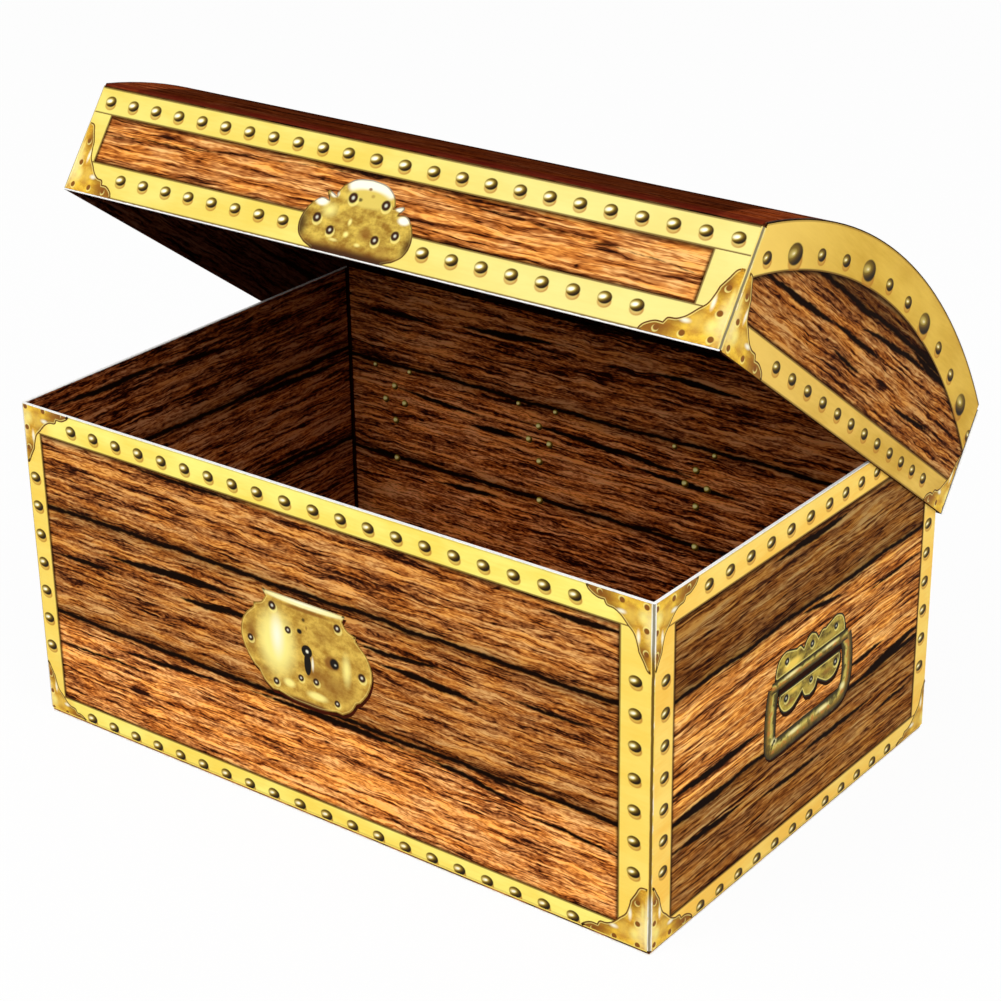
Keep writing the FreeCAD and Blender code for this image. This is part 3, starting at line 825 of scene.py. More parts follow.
def curve(*runs):
    """An outline through runs of points; a run is smooth, and goes on from the last in a sharp corner."""
    outline, last = [], ()
    for run in runs:
        run = (*last, *run)
        last = run[-1:]
        padded = [run[0], *run, run[-1]]
        for before, start, end, after in zip(padded, padded[1:], padded[2:], padded[3:]):
            for step in range(CURVE_STEPS):
                t = step / CURVE_STEPS
                outline.append(tuple(
                    b + 0.5 * t * (c - a + t * (2 * a - 5 * b + 4 * c - d + t * (3 * (b - c) + d - a)))
                    for a, b, c, d in zip(before, start, end, after)))
    return outline


print("films can be drawn:", INK, "mm thick")

# %% [markdown]
# ## Brass bands
# The bands are pale gilt with a row of studs each. On the print every stud has the same painted highlight,
# a dark right side and a small cast shadow below it, whichever way its panel faces. So a stud is a drawing,
# not a lump: one formula in the studs map, repeated along the row. Part of a band may glow, where the print
# is lighter.

# %% Gilt band material
GILT_LINE = shade(96, 58, 14)
CAST_BROWN = shade(178, 116, 34)
DOME_RIM = shade(104, 80, 18)
STUD = 0.176
STUD_WIDENING = 1.27
INNER_LINE = 0.85
BIG_EVERY = 3
BIG_DULLNESS = 0.13
BIG_SPREAD = 0.25
DOME_STOPS = (
    (0.0, shade(255, 254, 238)), (0.09, shade(252, 243, 198)), (0.22, shade(194, 170, 84)),
    (0.37, shade(122, 96, 24)), (0.57, shade(76, 54, 8)), (0.85, shade(28, 17, 2)),
)


def studded(paint, x, y, ground, dullness=0.0, spread=1.0, dome_tint=None):
    """A printed dome over its cast shadow; its edge is where x and y make 1. The highlight lies aslant."""
    cast = reach(x - 0.1, y + 0.62)
    depth = cast.ramp(0.5, 1.0) * (x * 0.3 + 0.6)
    ground = paint.mix(cast.ramp(1.1, 0.84) * (depth * 0.5 + 0.5), ground, CAST_BROWN)
    slant, across = x * 0.9 + y * 0.42 + 0.14, y * 0.9 - x * 0.42 - 0.12
    glint = reach(slant * 0.95, across * 1.5) * spread + x * 0.36 - y * 0.2 + dullness
    dome = paint.stops(glint * 0.6, *DOME_STOPS)
    if dome_tint:
        dome = paint.vectors("MULTIPLY", dome, dome_tint)
    dome = paint.mix(reach(x, y).ramp(0.8, 1.05) * 0.4, dome, DOME_RIM)
    return paint.mix(reach(x, y).ramp(1.08, 0.9), ground, dome)


def gilt_bands(name, low, high, outer_line=0.25, stud=STUD, big_stud=None, dullness=0.0, glow=None,
               dome_tint=None):
    """Brushed gilt between two tones, with dark edges and a stud in every repeat of the studs map."""
    paint = Printed(name)
    along, up = paint.map("print")
    over, above = paint.map("studs")
    outer, inner = paint.map("rim")
    slow = paint.cloud(along / 24, up / 9, 5.0)
    brush = paint.cloud(along / 5, up / 0.8, 9.0)
    metal = paint.mix((slow * 1.7 + brush * 0.5 - 0.6).ramp(0.0, 1.0), low, high)
    if glow:
        where, amount, tint = glow
        metal = paint.mix(where(along) * amount, metal, tint)
    line = (inner.ramp(0.55, 0.2) * INNER_LINE).most(outer.ramp(0.5, 0.2) * outer_line)
    metal = paint.mix(line, metal, GILT_LINE)
    radius, spread = stud, 1.0
    if big_stud:
        big = ((over.whole() + 2) / BIG_EVERY).repeat().ramp(0.2, 0.1)
        radius = big * (big_stud - stud) + stud
        dullness = big * BIG_DULLNESS + dullness
        spread = 1 - big * BIG_SPREAD
    x = (over.repeat() - CELL_MIDDLE) / radius / STUD_WIDENING
    y = (above.repeat() - CELL_MIDDLE) / radius
    return paint.coloured(studded(paint, x, y, metal, dullness, spread, dome_tint))


FRONT_GILT = gilt_bands("front_gilt", shade(250, 220, 90), shade(255, 245, 130),
                        glow=(lambda along: abs(along).ramp(90.5, 93.5), 0.5, shade(248, 200, 84)))
END_GILT = gilt_bands("end_gilt", shade(250, 196, 78), shade(255, 222, 114), dullness=0.06)
LIP_GILT = gilt_bands("lip_gilt", shade(236, 208, 92), shade(241, 226, 122), outer_line=0.8, dullness=-0.1,
                      glow=(lambda along: along.ramp(-20, 60), 0.4, shade(242, 232, 162)))
LID_END_GILT = gilt_bands("lid_end_gilt", shade(204, 160, 58), shade(232, 192, 90), outer_line=0.7,
                          dullness=0.12,
                          glow=(lambda along: along.ramp(-60, -135), 0.6, shade(244, 204, 102)))
ARCH_GILT = gilt_bands("arch_gilt", shade(202, 158, 52), shade(226, 186, 76), outer_line=0.5, stud=0.128,
                       big_stud=0.212, dullness=0.14,
                       glow=(lambda along: along.ramp(-92, -138), 0.75, shade(250, 212, 104)))
INSIDE_GILT = gilt_bands("inside_gilt", shade(120, 90, 40), shade(150, 116, 60), dullness=-0.26,
                         dome_tint=(1.0, 0.96, 0.52))
print("gilt materials: 6")

# %% [markdown]
# Straight bands frame each wall. The printed studs aren't spaced quite evenly, so a row is given as a few
# studs with their numbers, and the studs map counts evenly between those.

# %% Straight bands
FAR_PITCH = 1000.0
NO_LINE = 1.0


@dataclass
class Band:
    """A straight band: its two ends, its outer and inner edge, and its studs.

    Studs are the line they stand on and some of them as (place, number); the others lie evenly between.
    An upright band has no outer line, because the gilt runs on round the fold.
    """
    start: float
    end: float
    outer: float
    inner: float
    studs: tuple = None
    upright: bool = False

    def rows(self):
        """Rows of corners along the band; the studs map only counts where there are studs."""
        line, pitch = self.outer, FAR_PITCH
        stops = [(self.start, 0.0), (self.end, 0.0)]
        if self.studs:
            line, *known = self.studs
            (first, _), (last, number) = known[0], known[-1]
            pitch = (last - first) / number
            stops = [(self.start, 0.0), (first - pitch / 2, 0.0)]
            stops += [(place, count + CELL_MIDDLE) for place, count in known]
            stops += [(last + pitch / 2, number + 1.0), (self.end, number + 1.0)]
        from_line = NO_LINE if self.upright else 0.0
        for run, cell in stops:
            row = []
            for edge in (self.outer, self.inner):
                offset = (edge - line) / pitch + CELL_MIDDLE
                maps = {"studs": (offset, cell) if self.upright else (cell, offset),
                        "rim": (abs(edge - self.outer) + from_line, abs(edge - self.inner))}
                row.append((edge, run, maps) if self.upright else (run, edge, maps))
            yield row


def band_frame(window, limits, top=None, foot=None, left=None, right=None):
    """Four bands between a window and a panel's limits."""
    inner_left, inner_right, inner_foot, inner_top = window
    low_along, high_along, low_up, high_up = limits
    return [
        Band(low_along, high_along, high_up, inner_top, top),
        Band(low_along, high_along, low_up, inner_foot, foot),
        Band(inner_foot, inner_top, low_along, inner_left, left, True),
        Band(inner_foot, inner_top, high_along, inner_right, right, True),
    ]


def lay_bands(name, side, bands, material):
    """Draw some bands on a side as one film."""
    lay_strips(name, side, [band.rows() for band in bands], BAND_LIFT, material)


print("bands lie", BAND_LIFT, "mm above the card")

# %% Bands on the walls
PRINT_TOP = rim - PRINT_MARGIN
BODY_FACES = (("front", FRONT), ("back", BACK))
BODY_ENDS = (("right", RIGHT, half_depth - PRINT_MARGIN), ("left", LEFT, flat_depth))
FRONT_LIMITS = (-flat_width, flat_width, wall_foot, PRINT_TOP)
FRONT_STUDS = {
    "top": (89.9, (-83.1, 0), (-17.5, 8), (1.1, 10), (79.8, 19)),
    "foot": (2.9, (-84.8, 0), (-17.5, 8), (0.9, 10), (79.2, 19)),
    "left": (-98.5, (22.0, 0), (73.0, 6)), "right": (96.6, (22.0, 0), (73.0, 6)),
}
END_STUDS = {
    "top": (89.9, (-44.7, 0), (9.7, 6), (33.1, 9), (56.0, 12)),
    "foot": (2.8, (-45.1, 0), (-1.9, 5), (47.3, 11)),
    "left": (-62.0, (21.5, 0), (72.6, 6)), "right": (63.0, (21.5, 0), (72.6, 6)),
}
for face, side in BODY_FACES:
    lay_bands(f"{face}_bands", side, band_frame(FRONT_WINDOW, FRONT_LIMITS, **FRONT_STUDS), FRONT_GILT)
for end, side, back_limit in BODY_ENDS:
    limits = (-flat_depth, back_limit, wall_foot, PRINT_TOP)
    lay_bands(f"{end}_bands", side, band_frame(END_WINDOW, limits, **END_STUDS), END_GILT)
print("bands on", len(BODY_FACES) + len(BODY_ENDS), "walls")

# %% Bands on the lid
LIP_FOOT = 0.3
LIP_TOP = lip - 0.4
BACK_EDGE = -2 * board - 0.1
HASP_MIDDLE = -5.5
LID_ENDS = (("right", LID_RIGHT), ("left", LID_LEFT))
LIP_LIMITS = (-lid_flat_width, lid_flat_width, LIP_FOOT, LIP_TOP)
LIP_BAND_TOP = LIP_WINDOW[2]
LIP_STUD_LINE = 5.6
LIP_TOP_STUDS = (25.7, (-97.5, 0), (-15.5, 10), (11.3, 13), (97.4, 23))
LIP_FOOT_STUDS = (LIP_STUD_LINE, (-84.5, 0), (78.0, 19))
LID_END_STUDS = (4.8, (-113.6, 0), (-77.0, 4), (-42.8, 8), (-19.4, 11))
lip_bands = band_frame(LIP_WINDOW, LIP_LIMITS, LIP_TOP_STUDS)
lip_bands[1:2] = [
    Band(-lid_flat_width, HASP_MIDDLE, LIP_FOOT, LIP_BAND_TOP, (LIP_STUD_LINE, (-84.0, 0), (-27.6, 7))),
    Band(HASP_MIDDLE, lid_flat_width, LIP_FOOT, LIP_BAND_TOP, (LIP_STUD_LINE, (16.6, 0), (78.4, 7))),
]
lay_bands("lid_front_bands", LID_FRONT, lip_bands, LIP_GILT)
back_lip_bands = band_frame(LIP_WINDOW, LIP_LIMITS, LIP_TOP_STUDS, LIP_FOOT_STUDS)
lay_bands("lid_back_bands", LID_BACK, back_lip_bands, LIP_GILT)
for end, side in LID_ENDS:
    foot_band = Band(-lid_flat_depth, BACK_EDGE, LID_EDGE, LID_END_FOOT, LID_END_STUDS)
    lay_bands(f"lid_{end}_foot_band", side, [foot_band], LID_END_GILT)
print("bands on two lips and", len(LID_ENDS), "lid ends")

# %% [markdown]
# The arch band follows the top edge of a lid end. It is cut into upright slices, and the studs map counts
# round the arc, so the same formula draws the studs. Every third stud is a large flat one.

# %% Arch bands
ARCH_SLICES = 90
ARCH_STUD_RADIUS = 143.2
ARCH_FIRST_STUD = -26.8
ARCH_PITCH = 5.045
ARCH_MARGIN = 0.3


def arch_rows():
    """Upright slices of the arch band, from the front edge to the back edge."""
    outer = arch_radius - ARCH_MARGIN
    inner = arch_radius - ARCH_BAND
    pitch = math.radians(ARCH_PITCH) * ARCH_STUD_RADIUS
    for step in range(ARCH_SLICES + 1):
        along = -lid_flat_depth + (BACK_EDGE + lid_flat_depth) * step / ARCH_SLICES
        run = along - arch_centre[0]
        row = []
        for radius in (outer, inner):
            climb = math.sqrt(radius ** 2 - run ** 2)
            turn = math.degrees(math.atan2(run, climb))
            maps = {"studs": ((turn - ARCH_FIRST_STUD) / ARCH_PITCH + CELL_MIDDLE,
                              (radius - ARCH_STUD_RADIUS) / pitch + CELL_MIDDLE),
                    "rim": (outer - radius, radius - inner)}
            row.append((along, arch_centre[1] + climb, maps))
        yield row


for end, side in LID_ENDS:
    lay_strips(f"lid_{end}_arch_band", side, [arch_rows()], BAND_LIFT, ARCH_GILT)
print("arch bands: 2")

# %% [markdown]
# ## Plates
# Corner plates, lock plate, hasp and handle are cut shapes with a bright worked edge. Each outline is a
# smooth curve through a few points. A ribbon along the outline, laid just above the plate, carries the rim
# map: 0 on the outline and 1 inside, so the shader can draw a dark outline and a light edge. Where a plate
# would run past a fold or a cut edge it is cut off, and has no rim there.

# %% Plates
NO_CUT = -99.0
NO_RIM = 0.1
RIM_LIFT = 0.015
THIN_RIM = 0.5
PLATE_RIM = 0.7
SHARP_CORNER = 0.7


def inset(outline, width):
    """An outline moved inwards by a width; it is moved less far at sharp corners."""
    following = outline[1:] + outline[:1]
    area = sum(x0 * y1 - x1 * y0 for (x0, y0), (x1, y1) in zip(outline, following))
    inner = []
    for before, here, after in zip(outline[-1:] + outline[:-1], outline, following):
        first = (Vector(here) - Vector(before)).normalized()
        second = (Vector(after) - Vector(here)).normalized()
        inward = (first + second).orthogonal().normalized()
        depth = width / max(inward.dot(first.orthogonal()), SHARP_CORNER)
        inner.append(Vector(here) + inward * math.copysign(depth, area))
    return inner


def clipped(outline, axis, limit):
    """The part of an outline where one coordinate is at least a limit: the rest would lie past a fold."""
    kept = []
    for before, here in zip(outline[-1:] + outline[:-1], outline):
        if (before[axis] < limit) != (here[axis] < limit):
            share = (limit - before[axis]) / (here[axis] - before[axis])
            kept.append(tuple(b + share * (h - b) for b, h in zip(before, here)))
        if here[axis] >= limit:
            kept.append(here)
    return kept


def add_plate(sheet, outline, corner, scale=(1.0, 1.0), cut=(NO_CUT, NO_CUT), rim_width=THIN_RIM):
    """Draw a plate and, just above it, its rim; where x or y is below cut, it is cut off and has no rim."""
    def add_points(points, raised):
        places = [(corner[0] + x * scale[0], corner[1] + y * scale[1]) for x, y in points]
        return [sheet.verts.new((*place, raised)) for place in places]

    def add_face(verts, points, edges):
        for loop, point, edge in zip(sheet.faces.new(verts).loops, points, edges):
            set_maps(sheet, loop, print=point, rim=(edge, edge))

    outline = clipped(clipped(outline, 0, cut[0]), 1, cut[1])
    add_face(add_points(outline, 0.0), outline, [1.0] * len(outline))
    inner = inset(outline, rim_width)
    rim_verts = list(zip(add_points(outline, RIM_LIFT), add_points(inner, RIM_LIFT)))
    rim_points = list(zip(outline, inner))
    edges = [float(min(x - cut[0], y - cut[1]) < NO_RIM) for x, y in outline]
    for index in range(-1, len(outline) - 1):
        add_face((*rim_verts[index], *rim_verts[index + 1][::-1]),
                 (*rim_points[index], *rim_points[index + 1][::-1]),
                 (edges[index], 1.0, 1.0, edges[index + 1]))


def lay_plates(name, side, outlines, middle, lift, material, **shape):
    """Draw plates about one middle, and lay them on a side as one film."""
    sheet = new_sheet()
    for outline in outlines:
        add_plate(sheet, outline, middle, **shape)
    lay(name, side, sheet, lift, material)


print("plates can be drawn: rim", PLATE_RIM, "mm wide")

# %% [markdown]
# The brass of a plate is mottled between two tones. Highlights, stains and holes are soft ellipses in the
# plate's own millimetres, laid one over the other, and the rivets and the worked edge come last.

# %% Brass of the plates
GLEAM = shade(255, 252, 226)
CREAM = shade(255, 245, 176)
PALE_GOLD = shade(253, 238, 138)
GOLD = shade(224, 184, 82)
BROWN = shade(134, 82, 24)
DARK_BROWN = shade(58, 30, 10)
HOLE = shade(20, 12, 4)


def gilt_plate(name, low, high, spots, rivets, rivet_tint, gleam, outline, line, line_tint, edge_light=0.6):
    """Brass with spots, (x, y, half width, half height, tint, strength, core), and rivets (x, y, radius).

    Gleam, outline and edge_light are strengths; line is how far the dark outline reaches into the rim.
    """
    paint = Printed(name)
    along, up = paint.map("print")
    edge, _ = paint.map("rim")
    mottle = paint.cloud(along / 4, up / 3, 15.0, 4.0, 0.65)
    metal = paint.mix(mottle.ramp(0.3, 0.7), low, high)
    for *ellipse, tint, strength, core in spots:
        metal = paint.mix(blot(along, up, *ellipse).ramp(1.0, core) * strength, metal, tint)
    for x, y, radius in rivets:
        aside, aloft = (along - x) / radius, (up - y) / radius
        metal = paint.mix(reach(aside - 0.2, aloft + 0.35).ramp(1.15, 0.9) * 0.6, metal, PALE_GOLD)
        metal = paint.mix(reach(aside, aloft).ramp(1.05, 0.7), metal, rivet_tint)
        metal = paint.mix(reach(aside, aloft).ramp(0.45, 0.05) * gleam, metal, GLEAM)
    metal = paint.mix(edge.ramp(0.4, 0.6) * edge.ramp(1.0, 0.7) * edge_light, metal, PALE_GOLD)
    metal = paint.mix(edge.ramp(line, line * 0.4) * outline, metal, line_tint)
    return paint.coloured(metal)


print("brass can be mixed")

# %% [markdown]
# A corner plate is printed in every corner of the walls, and in the lower corners of the lid. One outline
# serves them all: it is scaled, mirrored, and cut where its panel ends.

# %% Corner plates
CORNER_OUTLINE = curve(
    ((0.0, 0.0), (19.6, 0.0)), ((18.7, 1.6), (16.4, 2.9), (14.4, 3.0)),
    ((13.6, 4.2), (11.6, 4.5), (9.7, 5.6), (7.8, 7.6)), ((6.2, 9.2), (5.3, 11.6), (4.9, 13.4)),
    ((3.6, 15.6), (2.2, 17.9), (0.0, 18.3)), ((0.0, 0.0),),
)
CORNER_SPOTS = (
    (16.5, 1.6, 8.5, 4.5, BROWN, 0.9, 0.2), (12.0, 4.4, 5.5, 2.0, BROWN, 0.9, 0.1),
    (7.6, 7.4, 2.6, 2.6, BROWN, 0.7, 0.0), (3.8, 14.5, 2.8, 6.0, BROWN, 0.9, 0.15),
    (6.6, 4.6, 3.5, 4.0, GOLD, 0.7, 0.0), (1.4, 6.0, 3.0, 7.5, CREAM, 0.6, 0.0),
    (0.2, 7.0, 0.9, 11.0, CREAM, 0.8, 0.2),
    (9.6, 4.4, 1.9, 0.9, GLEAM, 0.85, 0.1), (4.9, 9.6, 0.8, 2.6, GLEAM, 0.85, 0.1),
    (3.6, 4.2, 2.2, 3.0, PALE_GOLD, 0.8, 0.0), (1.2, 11.0, 0.9, 4.0, PALE_GOLD, 0.7, 0.0),
)
CORNER_RIVETS = ((2.7, 1.5, 0.85), (2.7, 7.5, 0.85), (2.7, 13.4, 0.8), (9.4, 1.5, 0.85), (15.4, 1.4, 0.8))
CORNER_GILT = gilt_plate("corner_gilt", shade(192, 130, 30), shade(246, 202, 66), CORNER_SPOTS,
                         CORNER_RIVETS, rivet_tint=shade(132, 80, 24), gleam=0.0, outline=0.95, line=0.7,
                         line_tint=shade(92, 54, 14))
LIP_CORNER = (1.13, 1.03)
CREASE_ROOM = 2.0


def lay_corners(name, side, corners):
    """Draw corner plates: (along, up, two scales, two cuts), where the scales' signs choose the quarter."""
    sheet = new_sheet()
    for along, up, wide, high, *cut in corners:
        corner = (along - cut[0] * wide, up - cut[1] * high)
        add_plate(sheet, CORNER_OUTLINE, corner, (wide, high), cut, PLATE_RIM)
    lay(name, side, sheet, PLATE_LIFT, CORNER_GILT)


for face, side in BODY_FACES:
    lay_corners(f"{face}_corner_plates", side, (
        (-flat_width, wall_foot, 0.8, 0.9, 2.0, 1.5), (-flat_width, PRINT_TOP, 1, -1, 1.9, 1.0),
        (flat_width, wall_foot, -1, 1, 0.0, 1.0), (flat_width, PRINT_TOP, -1, -1, 1.5, 0.3),
    ))
for end, side, back_limit in BODY_ENDS:
    lay_corners(f"{end}_corner_plates", side, (
        (-flat_depth, wall_foot, 1, 1, 1.8, 0.4), (-flat_depth, PRINT_TOP, 1, -1, 2.5, 0.0),
        (back_limit, wall_foot, -1, 1, 3.4, 2.0), (back_limit, PRINT_TOP, -1, -1, 3.4, 0.0),
    ))
for name, side, foot in (("lid_front_corner_plates", LID_FRONT, LIP_FOOT),
                         ("lid_back_corner_plates", LID_BACK, CREASE_ROOM)):
    cut = (foot - LIP_FOOT) / LIP_CORNER[1]
    lay_corners(name, side, ((-lid_flat_width, foot, 0.86, LIP_CORNER[1], 0.3, cut),
                             (lid_flat_width, foot, -LIP_CORNER[0], LIP_CORNER[1], 0.6, cut)))
for end, side in LID_ENDS:
    lay_corners(f"lid_{end}_corner_plates", side, (
        (-lid_flat_depth, LID_EDGE, *LIP_CORNER, 0.8, 0.0),
        (BACK_EDGE, LID_EDGE, -0.8, LIP_CORNER[1], 3.0, 0.0),
    ))
print("corner plates on 8 sides")

# %% [markdown]
# The lock plate is printed on the front wall, with a dark shadow beside it. It is symmetrical, so half an
# outline is drawn and mirrored. The keyhole and its cover are spots, like the stains.

# %% Lock plate
def mirrored(*runs):
    """A whole outline from the runs of its right half, which go from the top middle to the bottom middle."""
    half = curve(*runs)
    return half + [runs[-1][-1]] + [(-x, y) for x, y in reversed(half[1:])]


SHADOW_RED = shade(84, 26, 10)
LOCK_MIDDLE = (-3.7, 48.6)
LOCK_OUTLINE = mirrored(
    ((0.0, 14.7), (13.8, 14.7)), ((12.7, 12.9),), ((14.2, 10.9), (17.0, 9.9)), ((17.0, 8.7),),
    ((20.6, 5.0), (21.9, 0.3), (20.6, -4.6), (17.8, -8.4)), ((16.4, -9.2),),
    ((14.6, -11.9), (11.7, -13.8)), ((9.6, -13.6),), ((5.0, -14.7), (0.0, -14.8)),
)
LOCK_SPOTS = (
    (8.5, -6.5, 11.0, 6.5, BROWN, 0.65, 0.0), (2.8, -4.5, 4.5, 4.0, BROWN, 0.6, 0.0),
    (6.0, 6.5, 5.0, 4.0, BROWN, 0.35, 0.0), (-9.8, 0.5, 8.4, 12.5, PALE_GOLD, 1.0, 0.35),
    (-9.4, 2.5, 3.2, 8.5, GLEAM, 0.9, 0.0), (-18.2, 0.5, 2.6, 8.5, BROWN, 0.85, 0.0),
    (-14.5, -9.0, 4.0, 2.5, BROWN, 0.5, 0.0), (13.6, -0.5, 2.2, 6.5, PALE_GOLD, 0.95, 0.0),
    (-6.0, -10.1, 2.6, 1.7, PALE_GOLD, 1.0, 0.3), (3.4, -11.2, 4.6, 1.6, PALE_GOLD, 1.0, 0.3),
    (0.0, 12.3, 13.5, 0.9, BROWN, 0.85, 0.2), (0.0, 14.1, 17.0, 1.4, CREAM, 1.0, 0.6),
    (0.0, 14.2, 11.0, 0.6, GLEAM, 0.9, 0.2), (8.7, 0.0, 3.2, 2.6, BROWN, 0.9, 0.5),
    (9.6, 0.1, 1.9, 1.9, HOLE, 1.0, 0.6), (9.9, -0.1, 0.6, 0.5, GLEAM, 0.5, 0.0),
    (0.0, -14.6, 14.0, 1.6, SHADOW_RED, 0.9, 0.3), (2.3, -2.2, 0.6, 2.8, GLEAM, 0.85, 0.2),
    (0.5, 0.9, 1.9, 1.9, HOLE, 1.0, 0.85), (0.6, -2.6, 1.25, 3.6, HOLE, 1.0, 0.85),
    (0.6, 0.9, 0.7, 0.7, GLEAM, 0.9, 0.2), (-1.7, 6.0, 1.1, 0.95, HOLE, 1.0, 0.5),
    (-0.2, 9.6, 0.8, 0.8, HOLE, 0.8, 0.3), (0.7, 7.6, 0.6, 0.9, BROWN, 0.7, 0.2),
)
LOCK_RIVETS = (
    (-10.6, 10.7, 1.45), (11.0, 10.6, 1.35), (-18.7, -0.8, 1.2), (18.5, -1.0, 1.4), (-10.5, -11.0, 1.2),
    (10.0, -11.1, 1.1), (-5.6, 5.2, 1.2), (-1.9, -7.4, 1.1), (3.2, -7.0, 1.2),
)
LOCK_GILT = gilt_plate("lock_gilt", shade(168, 122, 38), shade(226, 188, 82), LOCK_SPOTS, LOCK_RIVETS,
                       rivet_tint=DARK_BROWN, gleam=0.75, outline=0.5, line=0.6, line_tint=shade(88, 50, 14),
                       edge_light=0.3)
SHADOW_LIFT = 0.02
LOCK_SHADOW_SHIFT = (0.4, 0.9)


def shadow_print(name, tint):
    """The dark shadow that is printed beside a plate."""
    paint = Printed(name, MATT)
    along, up = paint.map("print")
    return paint.coloured(paint.mix(paint.cloud(along / 4, up / 1.5, 17.0), tint, HOLE))


def shadow_of(middle, aside, drop):
    """Where the shadow of something about a middle lies: to the right of it, and lower."""
    return middle[0] + aside, middle[1] - drop


LOCK_SHADOW = shadow_print("lock_shadow", SHADOW_RED)
lay_plates("lock_plate_shadow", FRONT, [LOCK_OUTLINE], shadow_of(LOCK_MIDDLE, *LOCK_SHADOW_SHIFT),
           SHADOW_LIFT, LOCK_SHADOW)
lay_plates("lock_plate", FRONT, [LOCK_OUTLINE], LOCK_MIDDLE, PLATE_LIFT, LOCK_GILT, rim_width=PLATE_RIM)
print("lock plate with", len(LOCK_RIVETS), "rivets")

# %% [markdown]
# The hasp is printed on the lid's front lip, and ends at the lip's cut edge. With the lid shut it comes
# right above the lock plate.

# %% Hasp
HASP_FOOT = 1.0
HASP_SHIFT = 0.4
HASP_OUTLINE = mirrored(
    ((0.0, 21.1), (4.6, 20.5), (7.9, 18.4), (9.2, 16.0)), ((9.0, 15.3),),
    ((11.6, 16.3), (12.2, 15.6)), ((10.9, 13.9),),
    ((13.3, 14.2), (15.6, 12.5), (17.2, 9.6), (17.5, 6.6), (16.4, 4.0), (14.0, 2.2)),
    ((10.8, HASP_FOOT),), ((0.0, HASP_FOOT),),
)
HASP_YELLOW = shade(222, 196, 94)
HASP_SPOTS = (
    (0.8, 18.9, 8.4, 3.4, GLEAM, 1.0, 0.75), (0.8, 16.2, 8.8, 3.0, HASP_YELLOW, 1.0, 0.6),
    (-11.3, 14.7, 0.6, 1.1, HOLE, 0.9, 0.3), (11.7, 14.4, 1.3, 0.5, HOLE, 0.8, 0.3),
    (-9.8, 15.8, 1.8, 1.3, GLEAM, 1.0, 0.4), (10.9, 15.5, 1.8, 1.0, GLEAM, 1.0, 0.4),
    (-12.8, 13.3, 2.8, 1.6, GLEAM, 1.0, 0.4), (13.2, 12.9, 2.5, 1.5, GLEAM, 1.0, 0.4),
    (-9.6, 11.4, 3.6, 2.8, PALE_GOLD, 0.85, 0.0), (-19.0, 5.4, 5.6, 8.5, DARK_BROWN, 0.9, 0.45),
    (18.8, 5.6, 4.8, 8.0, DARK_BROWN, 0.85, 0.35), (3.4, 7.6, 3.4, 2.8, BROWN, 0.8, 0.1),
    (-6.0, 9.0, 3.0, 1.6, BROWN, 0.5, 0.0), (9.6, 4.6, 4.0, 2.2, BROWN, 0.55, 0.0),
    (-2.3, 9.6, 0.8, 1.3, PALE_GOLD, 0.9, 0.2), (-2.2, 6.4, 1.1, 1.1, PALE_GOLD, 0.9, 0.2),
    (2.2, 4.4, 1.3, 0.7, PALE_GOLD, 0.9, 0.2), (-5.4, 4.4, 1.9, 0.6, PALE_GOLD, 0.9, 0.2),
    (0.0, 0.5, 60.0, 4.9, BROWN, 0.9, 0.2), (0.0, 0.5, 60.0, 3.2, DARK_BROWN, 0.95, 0.3),
    (8.0, 10.8, 1.3, 1.7, BROWN, 0.5, 0.0),
    (0.2, 18.7, 0.8, 0.6, BROWN, 0.9, 0.3), (-1.7, 15.6, 1.0, 0.7, HOLE, 0.8, 0.3),
    (1.7, 17.1, 0.9, 0.7, BROWN, 0.5, 0.2),
)
HASP_RIVETS = (
    (-4.0, 15.7, 1.6), (6.4, 15.6, 1.55), (-12.6, 9.0, 1.5), (12.2, 8.8, 1.4), (-7.4, 6.6, 1.4),
    (6.8, 6.6, 1.4),
)
HASP_GILT = gilt_plate("hasp_gilt", shade(146, 104, 28), shade(224, 192, 82), HASP_SPOTS, HASP_RIVETS,
                       rivet_tint=DARK_BROWN, gleam=0.7, outline=0.7, line=0.7, line_tint=shade(88, 54, 16),
                       edge_light=0.1)
hasp_place = (HASP_MIDDLE + HASP_SHIFT, LIP_FOOT - HASP_FOOT)
lay_plates("lid_hasp_plate", LID_FRONT, [HASP_OUTLINE], hasp_place, PLATE_LIFT, HASP_GILT,
           cut=(NO_CUT, HASP_FOOT), rim_width=PLATE_RIM)
print("hasp with", len(HASP_RIVETS), "rivets")

# %% [markdown]
# A drop handle is printed on each end: two scalloped plates, a rod between them and a bail that hangs from
# the rod, all over one printed shadow.

